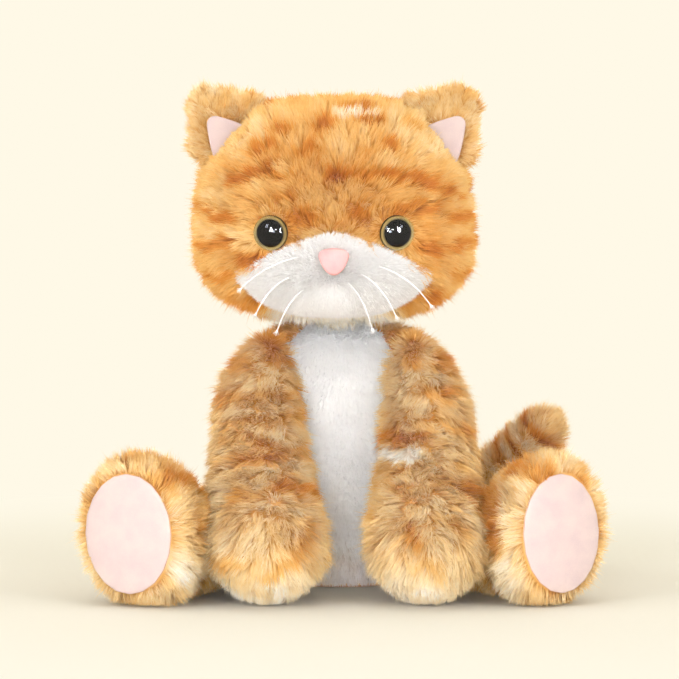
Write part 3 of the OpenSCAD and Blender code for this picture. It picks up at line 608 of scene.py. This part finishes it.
def velour(name, colour, deep, nap_size=0.45):
    """Brushed knit: a fine even nap that pales where it catches the light."""
    material, tree, shader = finish_of(name, Roughness=0.85, Sheen_Weight=0.5, Sheen_Roughness=0.35)
    shader.inputs["Specular IOR Level"].default_value = 0.2
    place = add(tree, "ShaderNodeTexCoord").outputs["Object"]
    grain = add(tree, "ShaderNodeTexNoise", {"Vector": place, "Scale": 1 / (nap_size * MM), "Detail": 3.0})
    cloud = add(tree, "ShaderNodeTexNoise", {"Vector": place, "Scale": 1 / (9 * MM), "Detail": 2.0})
    share = add(tree, "ShaderNodeMapRange", {0: cloud.outputs["Fac"], 1: 0.3, 2: 0.7, 3: 0.0, 4: 0.75})
    speck = add(tree, "ShaderNodeMapRange", {0: grain.outputs["Fac"], 1: 0.3, 2: 0.7, 3: -0.25, 4: 0.25})
    parts = {0: share.outputs[0], 1: speck.outputs[0]}
    total = add(tree, "ShaderNodeMath", parts, operation="ADD", use_clamp=True)
    dyes = {0: total.outputs[0], 6: linear(colour), 7: linear(deep)}
    mixed = add(tree, "ShaderNodeMix", dyes, data_type="RGBA")
    raised = {"Height": grain.outputs["Fac"], "Strength": 0.35, "Distance": 0.25 * MM}
    bump = add(tree, "ShaderNodeBump", raised)
    tree.links.new(mixed.outputs[2], shader.inputs["Base Color"])
    tree.links.new(bump.outputs[0], shader.inputs["Normal"])
    return material


velour_pink = velour("velour_pink_brushed", "#DAC5C0", "#CDB7B8")
velour_nose = velour("velour_nose_brushed", "#F8B4B4", "#EE9A9C", nap_size=0.35)
seam_thread = velour("seam_thread_brown", "#D9AE92", "#BE8A68", nap_size=0.3)
knit_seat = velour("knit_seat_brushed", "#EFC27C", "#D39A50")


def outline_of(node, outward, rounding):
    """A thin CAD plate's middle, its flat and outward directions, its height span and its outline."""
    points = np.array([v.co for v in frame["nodes"][node].data.vertices]) / MM
    points = np.unique(points.round(3), axis=0)
    middle = (points.min(0) + points.max(0)) / 2
    way = np.linalg.svd(points - points.mean(0), full_matrices=False)[2][2]
    way *= np.sign(way @ np.array(outward))
    side = np.cross(way, [0, 0, 1]) if abs(way[2]) < 0.9 else np.array([1.0, 0, 0])
    side /= np.linalg.norm(side)
    tall = np.cross(side, way)
    flat = np.stack([(points - middle) @ side, (points - middle) @ tall], 1)
    high = (points - middle) @ way
    angles = np.linspace(0, 2 * math.pi, 145)[:-1]
    # the outline's reach along each ray gives its tangent lines, whose crossings are its corners
    lines = np.array([(flat @ np.array([math.cos(a), math.sin(a)])).max() for a in angles])
    slope = (np.roll(lines, -1) - np.roll(lines, 1)) / (angles[2] - angles[0])
    edge = np.stack(
        [
            lines * np.cos(angles) - slope * np.sin(angles),
            lines * np.sin(angles) + slope * np.cos(angles),
        ],
        1,
    )
    edge = np.vstack([edge, edge[:1]])
    gone = np.concatenate([[0], np.cumsum(np.linalg.norm(np.diff(edge, axis=0), axis=1))])
    even = np.linspace(0, gone[-1], 121)[:-1]
    edge = np.stack([np.interp(even, gone, edge[:, k]) for k in range(2)], 1)
    for _ in range(int((rounding / even[1]) ** 2)):
        edge = (np.roll(edge, 1, 0) + 2 * edge + np.roll(edge, -1, 0)) / 4
    return middle, side, tall, way, (high.min(), high.max()), edge


def pad(name, node, outward, body, material, crown, pucker=0.0, puckers=0,
        rounding=0.5, shift=(0, 0, 0), lean=0, wide=1.0, soft=0.0):
    """A crowned fabric panel on a thin CAD plate, with its edge turned under and its back closed."""
    middle, side, tall, way, (low, high), edge = outline_of(node, outward, rounding)
    middle = middle + np.array(shift, float)
    edge = edge * [wide, 1]
    reach = np.linalg.norm(edge, axis=1, keepdims=True)
    edge = edge * (1 - soft + soft * reach.mean() / reach)
    lean = math.radians(lean)
    edge = edge @ np.array([[math.cos(lean), math.sin(lean)], [-math.sin(lean), math.cos(lean)]])
    count = len(edge)
    rows = [(share, high + crown * (1 - share**2.2)) for share in (0.12, 0.3, 0.5, 0.68, 0.82, 0.91)]
    rows += [(0.965, high - 0.12), (0.992, high - 0.45), (1.0, (low + high) / 2), (0.985, low)]
    points = [middle + way * (high + crown)]
    for share, height in rows:
        ring = edge * share
        waves = np.sin(np.arange(count) * 2 * math.pi * puckers / count)
        drop = pucker * waves * smoothstep(0.6, 0.91, share) * (share < 0.98)
        points += list(middle + ring[:, :1] * side + ring[:, 1:] * tall + (height + drop)[:, None] * way)
    points.append(middle + way * low)
    faces = [(0, 1 + k, 1 + (k + 1) % count) for k in range(count)]
    for row in range(len(rows) - 1):
        start = 1 + row * count
        for k in range(count):
            far = (k + 1) % count
            faces.append((start + k, start + count + k, start + count + far, start + far))
    start = 1 + (len(rows) - 1) * count
    faces += [(len(points) - 1, start + (k + 1) % count, start + k) for k in range(count)]
    if np.linalg.det([side, tall, way]) < 0:
        faces = [face[::-1] for face in faces]
    piece = mesh_piece(name, np.array(points) * MM, faces, material)
    piece.data.materials.append(seam_thread)
    for k in range(count * 8, count * 9):
        piece.data.polygons[k].material_index = 1
    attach(piece, body)
    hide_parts(node)
    return middle, side, tall, edge


def share_of(shape, points):
    """How far out each point lies in an outline, from 0 at its middle to 1 on its edge."""
    middle, side, tall, edge = shape
    across, along = (points - middle) @ side, (points - middle) @ tall
    turn = np.arctan2(edge[:, 1], edge[:, 0])
    order = np.argsort(turn)
    reach = np.interp(
        np.arctan2(along, across), turn[order], np.linalg.norm(edge, axis=1)[order], period=2 * math.pi
    )
    return np.hypot(across, along) / reach


pad("nose_velour", "nose", (0, -1, 0.2), "head", velour_nose, crown=1.6,
    rounding=2.4, wide=1.06, soft=0.4, shift=(0, 0, -0.5))
pad("seat_base", "seat_panel", (0, 0, -1), "torso", knit_seat, crown=0.0)

# ---- Ears: plush backs folded round pink velour linings, sewn into the seams of the head.

EAR_SHIFT = {"left": (3.8, -1.8, -4.6), "right": (-1.6, -1.8, -4.6)}
for side, hand in (("left", -1), ("right", 1)):
    lining = pad(f"ear_lining_velour_{side}", f"ear_lining_{side}", (0, -1, 0), "head", velour_pink,
                 crown=-0.7, rounding=2.2, shift=EAR_SHIFT[side], soft=0.12)
    ear = stuffed([f"ear_back_{side}"], -0.6, levels=3)
    spots, _, up = ear
    share = share_of(lining, spots)
    facing = up[:, 1] < -0.3
    thick = np.where(facing, smoothstep(0.93, 1.02, share), 1.0)
    outward = spots - (lining[0] - np.array([0, 0, 4]))
    nap = tangent(outward + np.array([0, 6.0, 4]), up)
    long = np.where(facing, 0.62, 0.95)
    tone = 0.36 + 0.06 * ripple(spots, 13, 41) + 0.10 * (~facing) * smoothstep(8, -4, spots[:, 2] - 240)
    low_corner = np.hypot(spots[:, 0] - (lining[0][0] - hand * 10), spots[:, 2] - (lining[0][2] - 6))
    tone += 0.20 * (1 - smoothstep(5, 12, low_corner)) * facing
    fur(f"ear_plush_{side}", "head", [f"ear_back_{side}"], ear, nap, tone, plush_tabby,
        density=5.0, length=8.5, seed=43 + hand, width=0.38, rise=0.8, tuft=5.0, gather=0.35, ruffle=0.7,
        thick=thick, long=long)

# ---- Eyes: moulded safety eyes. A clear acrylic dome magnifies a painted brass-olive ring round a
# black pupil, and a shank goes through the plush to a lock washer pressed on behind it.


def turned(name, profile, middle, way, material, steps=64):
    """A closed shape turned round way at middle, from a profile of radius and height in mm."""
    base = Vector(way).to_track_quat("Z", "Y").to_matrix()
    points, faces = [], []
    for radius, height in profile:
        for k in range(steps):
            turn = 2 * math.pi * k / steps
            spot = base @ Vector((radius * math.cos(turn), radius * math.sin(turn), height))
            points.append(np.array(spot) + middle)
    for row in range(len(profile) - 1):
        for k in range(steps):
            a, b = row * steps + k, row * steps + (k + 1) % steps
            faces.append((a, b, b + steps, a + steps))
    shape = bmesh.new()
    piece = mesh_piece(name, np.array(points) * MM, faces, material)
    shape.from_mesh(piece.data)
    bmesh.ops.remove_doubles(shape, verts=shape.verts, dist=0.001 * MM)
    bmesh.ops.recalc_face_normals(shape, faces=shape.faces)
    shape.to_mesh(piece.data)
    shape.free()
    piece.data.shade_smooth()
    return piece


# Clear and fully glossy: it shows the painted ring and carries the sharp highlights.
acrylic, _, shader = finish_of(
    "acrylic_clear_moulded", Roughness=0.0, IOR=1.38, Transmission_Weight=1.0
)
shader.inputs["Base Color"].default_value = linear("#FFFFFF")

# Paint under the dome: brass flecks that run in to the pupil, and a dark line where the mould ends.
brass, tree, shader = finish_of("enamel_brass_olive_painted", Roughness=0.5)
shader.inputs["Specular IOR Level"].default_value = 0.1
fleck = add(tree, "ShaderNodeTexCoord").outputs["UV"]
cut = add(tree, "ShaderNodeSeparateXYZ", {0: fleck})
grain = add(tree, "ShaderNodeTexNoise", {"Vector": fleck, "Scale": 34.0, "Detail": 2.0})
rings = add(tree, "ShaderNodeValToRGB", {0: cut.outputs["Y"]})
stops = rings.color_ramp.elements
BRASS = [
    # share from the pupil to the rim, colour
    (0.0, "#2A200D"),
    (0.16, "#6C5B32"),
    (0.42, "#8B7545"),
    (0.68, "#5C4A26"),
    (0.84, "#2A1C0C"),
    (1.0, "#1C120A"),
]
for k, (at, colour) in enumerate(BRASS):
    stop = stops[k] if k < 2 else stops.new(at)
    stop.position = at
    stop.color = linear(colour)
tint = add(tree, "ShaderNodeMapRange", {0: grain.outputs["Fac"], 1: 0.35, 2: 0.65, 3: 0.75, 4: 1.15})
tinted = {0: rings.outputs["Color"], "Scale": tint.outputs[0]}
flecked = add(tree, "ShaderNodeVectorMath", tinted, operation="SCALE")
tree.links.new(flecked.outputs[0], shader.inputs["Base Color"])

# Matt black, so that the pupil shows no gloss but the dome's.
black, tree, shader = finish_of("acrylic_black_moulded", Roughness=1.0)
shader.inputs["Base Color"].default_value = linear("#050405")
shader.inputs["Specular IOR Level"].default_value = 0.0

# Milky and half glossy, out of sight inside the head.
washer_white, tree, shader = finish_of("polypropylene_white_moulded", Roughness=0.45)
shader.inputs["Base Color"].default_value = linear("#E4E4E2")

# Radii of the ring and the pupil, the dome's height and the radii of the shank and washer, in mm.
EYE_R, PUPIL_R, DOME_H, SHANK_R, WASHER_R = 8.6, 5.9, 5.4, 2.4, 7
ring_profile = [
    (PUPIL_R, -0.4), (PUPIL_R, 0.38), (EYE_R - 0.15, 0.38), (EYE_R - 0.02, 0.2), (EYE_R - 0.02, -0.4),
    (PUPIL_R, -0.4),
]
pupil_profile = [
    (0, 0.3), (PUPIL_R - 0.3, 0.3), (PUPIL_R - 0.02, 0.1), (PUPIL_R - 0.02, -0.4), (SHANK_R, -0.5),
    (SHANK_R, -13.0), (0, -13.0),
]
dome_profile = [(0, 0.1), (EYE_R - 0.5, 0.1), (EYE_R - 0.1, 0.4)]
for t in np.linspace(0.12, math.pi / 2, 12):
    dome_profile.append(((EYE_R - 0.1) * math.cos(t), 0.75 + (DOME_H - 0.35) * math.sin(t)))
washer_profile = [
    (SHANK_R, -2.6), (SHANK_R, -3.8), (6.6, -3.9), (WASHER_R, -3.6), (WASHER_R, -2.9), (6.6, -2.6),
    (SHANK_R, -2.6),
]
for side in ("left", "right"):
    points = np.array([v.co for v in frame["nodes"][f"eye_iris_{side}"].data.vertices]) / MM
    middle = (points.min(0) + points.max(0)) / 2
    way = np.linalg.svd(points - points.mean(0), full_matrices=False)[2][2]
    way *= -np.sign(way[1])
    ring = turned(f"eye_ring_{side}", ring_profile, middle, way, brass)
    lanes = ring.data.uv_layers.new(name="UVMap")
    base = np.array([v.co for v in ring.data.vertices]) / MM - middle
    radius = np.linalg.norm(base - (base @ way)[:, None] * way, axis=1)
    flat = np.cross(way, [0, 0, 1.0])
    angle = np.arctan2(base @ np.cross(way, flat), base @ flat)
    for loop in ring.data.loops:
        v = loop.vertex_index
        lanes.data[loop.index].uv = (angle[v] * 1.2, (radius[v] - PUPIL_R) / (EYE_R - PUPIL_R))
    pupil = turned(f"eye_pupil_black_{side}", pupil_profile, middle, way, black)
    lens = turned(f"eye_dome_{side}", dome_profile, middle, way, acrylic)
    washer = turned(f"eye_lock_washer_{side}", washer_profile, middle, way, washer_white)
    for piece, node, slot in (
        (ring, "eye_iris", "eye_iris"), (pupil, "eye_pupil", "eye_black"),
        (lens, "eye_lens", "eye_lens"), (washer, "eye_washer", "washer"),
    ):
        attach(piece, "head")
        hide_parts(f"{node}_{side}")

# ---- Whiskers: six white nylon bristles glued into the muzzle. Each is clipped and split at its
# end, so that the strands flare.

bristle, tree, shader = finish_of("nylon_bristle_white", Roughness=0.3)
shader.inputs["Base Color"].default_value = linear("#FBFBFD")


def tube(path, radii, sides=8):
    """Points and faces of a closed round rod along a path."""
    points, faces = [], []
    for k, spot in enumerate(path):
        way = path[min(k + 1, len(path) - 1)] - path[max(k - 1, 0)]
        base = Vector(way).to_track_quat("Z", "Y").to_matrix()
        for j in range(sides):
            turn = 2 * math.pi * j / sides
            points.append(np.array(base @ Vector((math.cos(turn), math.sin(turn), 0))) * radii[k] + spot)
    for k in range(len(path) - 1):
        for j in range(sides):
            a, b = k * sides + j, k * sides + (j + 1) % sides
            faces.append((a, b, b + sides, a + sides))
    faces.append(tuple(range(sides))[::-1])
    faces.append(tuple((len(path) - 1) * sides + j for j in range(sides)))
    return points, faces


split = np.random.default_rng(9)
for side in ("left", "right"):
    for level in ("upper", "middle", "lower"):
        node = f"whisker_{side}_{level}"
        points = np.array([v.co for v in frame["nodes"][node].data.vertices]) / MM
        points = np.unique(points.round(3), axis=0)
        root = points[np.argmax(points[:, 2] - 0.4 * np.abs(points[:, 0] - HEAD_X))]
        tip = points[np.argmin(points[:, 2] - 0.4 * np.abs(points[:, 0] - HEAD_X))]
        order = points[np.argsort((points - root) @ (tip - root))]
        path = np.array([part.mean(0) for part in np.array_split(order, 10)])
        fine = np.linspace(0, 9, 28)
        path = np.stack([np.interp(fine, range(10), path[:, k]) for k in range(3)], 1)
        for _ in range(3):
            path[1:-1] = (path[:-2] + 2 * path[1:-1] + path[2:]) / 4
        path[:, 1] -= 4.2 * np.sin(np.linspace(0.12, 1, len(path)) * math.pi) ** 0.6
        body = path[:-3]
        all_points, all_faces = tube(body, np.linspace(0.36, 0.30, len(body)))
        end, way = body[-1], body[-1] - body[-3]
        way /= np.linalg.norm(way)
        aside = np.cross(way, [0, -1.0, 0])
        aside /= np.linalg.norm(aside)
        for strand in np.linspace(-1, 1, 5):
            reach = 3.4 - 0.8 * abs(strand) + split.uniform(-0.3, 0.3)
            bent = [end - way * 0.6, end + way * reach * 0.5 + aside * strand * 0.45,
                    end + way * reach + aside * strand * 1.35 + np.array([0, split.uniform(-0.2, 0.2), 0])]
            more, rings = tube(np.array(bent), [0.2, 0.2, 0.14], sides=5)
            all_faces += [tuple(i + len(all_points) for i in face) for face in rings]
            all_points += more
        piece = mesh_piece(f"{node}_bristle", np.array(all_points) * MM, all_faces, bristle)
        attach(piece, "head")
        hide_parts(node)

# ---- Body: a white belly panel between two tabby side panels that meet in a seam down the back,
# filled with fibre over a bag of pellets. A short ring of plush closes the neck.

body = stuffed(["body_stuffing", "pellet_bag"], 1.3)
spots = body[0].copy()
yoke = smoothstep(78, 121, spots[:, 2])
spots[:, 0] *= 1 + 0.75 * yoke
spots[:, 1] = 10 + (spots[:, 1] - 10) * (1 + 0.12 * yoke)
spots[:, 2] += 8 * yoke * smoothstep(26, 6, spots[:, 1])
body = reshaped(body, spots)
spots, _, up = body


def belly_side(spots):
    """How far round from the middle of the belly each point lies, as a share of the panel's half width."""
    turn = np.abs(np.degrees(np.arctan2(spots[:, 0] + 1.5 * yoke_at(spots), 14 - spots[:, 1])))
    return turn / (67.5 - 21 * yoke_at(spots))


def yoke_at(spots):
    """How far up the yoke each point lies, from 0 below it to 1 at the neck."""
    return smoothstep(86, 120, spots[:, 2])


BODY_BAND = 24
down = tangent(np.array([[0, 0, -1.0]]) + 0 * spots, up)
body_long = 1 - 0.4 * smoothstep(96, 118, spots[:, 2]) * smoothstep(6, 24, spots[:, 1])
thick = np.where((up[:, 2] < -0.8) & (spots[:, 2] < 8), 0.0, 1.0)
body_tone = 0.42 + 0.05 * ripple(spots, 40, 51) + 0.04 * ripple(spots, 13, 52)
bands = spots[:, 2] + 4 * ripple(spots, 60, 53) + np.abs(spots[:, 0]) * 0.25
bands = np.sin(bands * 2 * math.pi / BODY_BAND)
body_tone += 0.28 * smoothstep(0.2, 0.95, bands) * smoothstep(-5, 20, spots[:, 1])
# Painted shade in the creases in front, between the tops of the arms and the neck.
crease_shade = [(-30, 124, -27, 112, 4.0, 0.30), (26, 122, 29, 104, 4.5, 0.30)]
body_tone += strokes(spots, crease_shade) * smoothstep(10, -5, spots[:, 1])
for k, (name, replaced, hand) in enumerate((
    ("body_side_plush_left", ["body_side_left"], -1),
    ("body_side_plush_right", ["body_side_right", "body_stuffing", "pellet_bag"], 1),
)):
    fur(name, "torso", replaced, body, down, body_tone, plush_tabby, density=2.5, length=9,
        seed=61 + k, thick=thick, long=body_long,
        chosen=lambda c: (belly_side(c) >= 1) & ((c[:, 0] >= 0) == (hand > 0)))
# Painted shade: the white belly darkens towards its bottom, where it curves under, and at its sides beside
# the arms.
belly_tone_and_shade = 0.04 + 0.05 * ripple(spots, 10, 54) + 0.8 * smoothstep(56, 0, spots[:, 2])
belly_tone_and_shade += 0.25 * smoothstep(24, 31, np.abs(spots[:, 0]) + 3) * smoothstep(110, 90, spots[:, 2])
fur("belly_plush", "torso", ["belly_panel"], body, down, belly_tone_and_shade, plush_white,
    density=5.6, length=5.0, seed=63, width=0.36, rise=1.3, tuft=4.0, gather=0.25, ruffle=0.4, thick=thick,
    chosen=lambda c: belly_side(c) < 1)

neck_low, neck_high = (np.array(c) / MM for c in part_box("neck_plug"))
neck_middle = (neck_low + neck_high) / 2 + np.array([0, 4, 0])
profile = [(0, -8), (8, -8), (13, -7), (15, -4), (15, 0), (15, 4), (13, 7), (8, 8), (0, 8)]
collar = turned("collar", profile, neck_middle, (0, 0, 1), plush_tabby, steps=40)
points = np.array([v.co for v in collar.data.vertices]) / MM
up = np.array([v.normal for v in collar.data.vertices])
faces = [tuple(f.vertices) for f in collar.data.polygons]
bpy.data.objects.remove(collar)
nap = tangent(np.array([[0, 0, -1.0]]) + 0 * points, up)
# white in front, where it meets the belly, and tabby behind
tone = 0.02 + 0.45 * smoothstep(-6, 2, points[:, 1] - neck_middle[1])
fur("neck_plush", "neck", ["neck_plug"], (points, faces, up), nap, tone, plush_tabby,
    density=4, length=6, seed=64, rise=0.8)

# ---- Arms: an outer and an inner plush panel sewn into a tube that widens to a round paw, filled
# with fibre and sewn on at the shoulder. The nap runs down the arm and the bands go round it.

ARM_MARKS = {
    "left": [
        (-57, 111.5, -44, 112, 4.0, 0.30), (-36, 121, -30, 114, 4.0, 0.34), (-59, 95, -25, 98, 3.0, 0.26),
        (-54, 84, -25, 86, 2.8, 0.24), (-54, 76, -34, 75, 2.6, 0.20), (-56, 66, -40, 68, 3.0, 0.24),
        (-40, 68, -16, 71, 3.0, 0.28), (-47, 51, -30, 54, 3.2, 0.26), (-30, 54, -6, 51, 3.6, 0.36),
        (-6, 51, -7, 43, 3.2, 0.28), (-57, 25, -45, 26, 3.4, 0.30), (-45, 26, -33, 21, 2.6, 0.20),
        (-33, 21, -20, 31, 3.0, 0.28), (-20, 31, -17, 38, 2.6, 0.26),
    ],
    "right": [
        (46, 111.5, 57, 111.5, 4.0, 0.32), (36, 121, 35, 112, 3.4, 0.24), (41, 98.5, 53, 98.5, 3.4, 0.28),
        (47, 84, 64, 81, 3.0, 0.24), (20, 76, 38, 77, 3.6, 0.40), (19, 62, 37, 63.5, 2.8, 0.20),
        (58, 54, 66, 49, 4.0, 0.32), (44, 58, 56, 56, 3.0, 0.18), (33, 39, 36, 33, 3.6, 0.34),
        (14, 50, 18, 42, 3.0, 0.20), (50, 41, 55, 37, 3.2, 0.22), (38, 24, 47, 22, 3.2, 0.20),
        (22, 56, 33, 52, 2.4, 0.16),
    ],
}
ARM_WHITE = {"left": [], "right": [(22, 69.5, 37, 69.5, 2.4, 0.48)]}
PAW = {"left": (-35, -77, 26.9), "right": (41, -77, 26.9)}
ARM_BAND = 19
for k, side in enumerate(("left", "right")):
    hand = -1 if side == "left" else 1
    arm = stuffed([f"arm_stuffing_{side}"], 1.3)
    spots = arm[0].copy()
    slope = smoothstep(92, 121, spots[:, 2]) * smoothstep(34, 62, hand * spots[:, 0])
    spots[:, 2] -= 11 * slope
    spots[:, 0] -= hand * 3 * slope
    arm = reshaped(arm, spots)
    spots, _, up = arm
    joint = next(j for j in frame["joints"] if j["name"] == f"shoulder_{side}")
    shoulder, paw = np.array(joint["pos_m"]) / MM, np.array(PAW[side])
    line = (paw - shoulder) / np.linalg.norm(paw - shoulder)
    share = ((spots - shoulder) @ line) / np.linalg.norm(paw - shoulder)
    round_paw = smoothstep(0.75, 1.15, share)[:, None]
    nap = tangent(line + 0 * spots, up) * (1 - round_paw)
    nap += tangent((spots - paw) * np.array([1, 1, 1]) + np.array([0, 0, -14.0]), up) * round_paw
    nap += 0.25 * tangent(np.array([[hand, 0, 0.0]]) + 0 * spots, up) * (1 - round_paw)
    front = 1 - smoothstep(-0.1, 0.5, up[:, 1])
    wobble = ripple(spots, 16, 71 + k)[:, None] * np.array([0.8, 0, 1.4])
    # The arms' pile is paler than the head's, as painted light where the head shades them.
    tone = 0.30 + 0.04 * ripple(spots, 34, 73 + k) + 0.04 * ripple(spots, 12, 75 + k)
    under = smoothstep(0.1, -0.6, up[:, 2]) * smoothstep(30, 10, spots[:, 2])
    tone -= 0.12 * under
    arm_long = 1 - 0.45 * under
    tone += 0.95 * front * strokes(spots + wobble, ARM_MARKS[side])
    tone -= front * strokes(spots, ARM_WHITE[side])
    bands = np.sin((spots @ line + 3 * ripple(spots, 40, 77 + k)) * 2 * math.pi / ARM_BAND)
    tone += (1 - front) * 0.34 * smoothstep(0.2, 0.95, bands)
    replaced = [f"arm_outer_{side}", f"arm_inner_{side}", f"arm_stuffing_{side}"]
    fur(f"arm_plush_{side}", f"arm_{side}", replaced, arm, nap, tone, plush_tabby,
        density=3.3, length=10.5, seed=81 + k, long=arm_long)

# ---- Legs: an upper and a lower plush panel round each leg, closed by an oval velour sole. The
# nap runs to the foot, and stands up round the sole where the seam holds it.

# Tabby marks on the front of each leg, and painted shade in the hollow between the leg and the arm.
LEG_MARKS_AND_SHADE = {
    "left": [
        # the second and third rows here are painted shade in the hollow between the leg and the arm; the
        # rest are tabby marks
        (-88, 57, -79, 56, 4.5, 0.26), (-70, 58, -61, 50, 5.0, 0.40), (-66, 44, -62, 30, 4.0, 0.30),
        (-121, 60, -117, 57, 4.0, 0.24), (-104, 70, -92, 69, 3.0, 0.12),
    ],
    "right": [
        # the second row here and the last one are painted shade in the hollow between the leg and the arm;
        # the rest are tabby marks
        (83, 61, 96, 61, 4.0, 0.30), (72, 45, 77, 30, 4.5, 0.32), (114, 65, 119, 61, 4.0, 0.24),
        (68, 58, 74, 50, 3.6, 0.26),
    ],
}
LEG_PALE = {"left": [(-80, 25, -72, 12, 5.0, 0.16)], "right": [(80, 25, 84, 10, 5.0, 0.12)]}
FOOT_TURN = {"left": -25, "right": 29}
SOLE_LEAN = {"left": 9, "right": -11}
SOLE_WIDE = {"left": 0.98, "right": 0.9}
SOLE_SHIFT = {"left": (0, 0, 0), "right": (-2, 0, 0)}
LEG_LONG, LEG_BAND = 89, 21
for k, side in enumerate(("left", "right")):
    sole = pad(f"sole_velour_{side}", f"sole_pad_{side}", (0, -1, 0), f"leg_{side}", velour_pink,
               crown=1.6, pucker=0.05, puckers=30, lean=SOLE_LEAN[side],
               wide=SOLE_WIDE[side], shift=SOLE_SHIFT[side])
    leg = stuffed([f"leg_stuffing_{side}"], 1.3)
    if side == "right":
        spots = leg[0].copy()
        spots[:, 0] -= 3 * smoothstep(88, 124, spots[:, 0])
        leg = reshaped(leg, spots)
    spots, _, up = leg
    angle = math.radians(FOOT_TURN[side])
    way = np.array([math.sin(angle), -math.cos(angle), 0])
    joint = next(j for j in frame["joints"] if j["name"] == f"hip_{side}")
    hip = np.array(joint["pos_m"]) / MM
    share = (spots - hip) @ way / LEG_LONG
    rim = smoothstep(0.7, 0.98, share)[:, None]
    nap = tangent(way + 0 * spots, up) * (1 - 0.55 * rim)
    middle = sole[0]
    nap += 0.9 * rim * tangent(spots - middle, up)
    cap = (up @ way > 0.6) & (share > 0.85)
    thick = np.where(cap, 0.0, 1.0) * np.where((up[:, 2] < -0.9) & (spots[:, 2] < 4), 0.5, 1.0)
    leg_long = 1 - 0.35 * rim[:, 0] * smoothstep(0.2, 0.55, up @ way)
    front = 1 - smoothstep(0.1, 0.6, up[:, 1])
    wobble = ripple(spots, 16, 91 + k)[:, None] * np.array([1.2, 0, 1.2])
    tone = 0.32 + 0.04 * ripple(spots, 34, 93 + k) + 0.04 * ripple(spots, 12, 95 + k)
    tone += front * strokes(spots + wobble, LEG_MARKS_AND_SHADE[side])
    tone -= front * strokes(spots, LEG_PALE[side])
    bands = np.sin((share * LEG_LONG + 3 * ripple(spots, 40, 97 + k)) * 2 * math.pi / LEG_BAND)
    tone += (1 - smoothstep(0.6, 0.85, share)) * 0.26 * smoothstep(0.2, 0.95, bands)
    replaced = [f"leg_upper_{side}", f"leg_lower_{side}", f"leg_stuffing_{side}"]
    fur(f"leg_plush_{side}", f"leg_{side}", replaced, leg, nap, tone, plush_tabby,
        density=3.2, length=10, seed=101 + k, thick=thick, long=leg_long)

# ---- Tail: an upper and an under plush panel round a soft filling, sewn low on the back. Rust
# and cream rings go round it, and its tip is plain.

tail = stuffed(["tail_stuffing"], 2.6)
spots, _, up = tail
# How far along the tail its rings end and where the first is centred, and their spacing, in mm.
TAIL_PLAIN, TAIL_FIRST, TAIL_BAND = 119, 91.5, 11
TAIL_ROUTE = [(-4, -7, -3), (6, 9, 1), (27, 12, 4), (50, 3, 17), (72, -10, 36), (88, -18, 56)]
joint = next(j for j in frame["joints"] if j["name"] == "tail_swing")
route = np.array(TAIL_ROUTE, float) + np.array(joint["pos_m"]) / MM
fine = np.linspace(0, 5, 101)
route = np.stack([np.interp(fine, range(6), route[:, k]) for k in range(3)], 1)
steps = np.linalg.norm(np.diff(route, axis=0), axis=1)
gone = np.concatenate([[0], np.cumsum(steps)])
nearest = np.linalg.norm(spots[:, None] - route[None], axis=2).argmin(1)
heading = np.gradient(route, axis=0)[nearest]
along = gone[nearest] + ((spots - route[nearest]) * heading).sum(1) / np.linalg.norm(heading, axis=1)
nap = tangent(heading / np.linalg.norm(heading, axis=1, keepdims=True), up)
rings = np.sin((along - TAIL_FIRST + 0.8 * ripple(spots, 20, 111)) * 2 * math.pi / TAIL_BAND)
ringed = 1 - smoothstep(TAIL_PLAIN - 1, TAIL_PLAIN + 3, along)
tone = 0.30 + 0.04 * ripple(spots, 12, 112) + 0.42 * smoothstep(0.35, 0.9, rings) * ringed
tone -= 0.14 * smoothstep(0.3, 0.9, -rings) * ringed
fur("tail_plush", "tail", ["tail_upper", "tail_under", "tail_stuffing"], tail, nap, tone, plush_tabby,
    density=4.0, length=9.5, seed=113, rise=1.8, ruffle=0.6)

bpy.data.objects.remove(wisp)
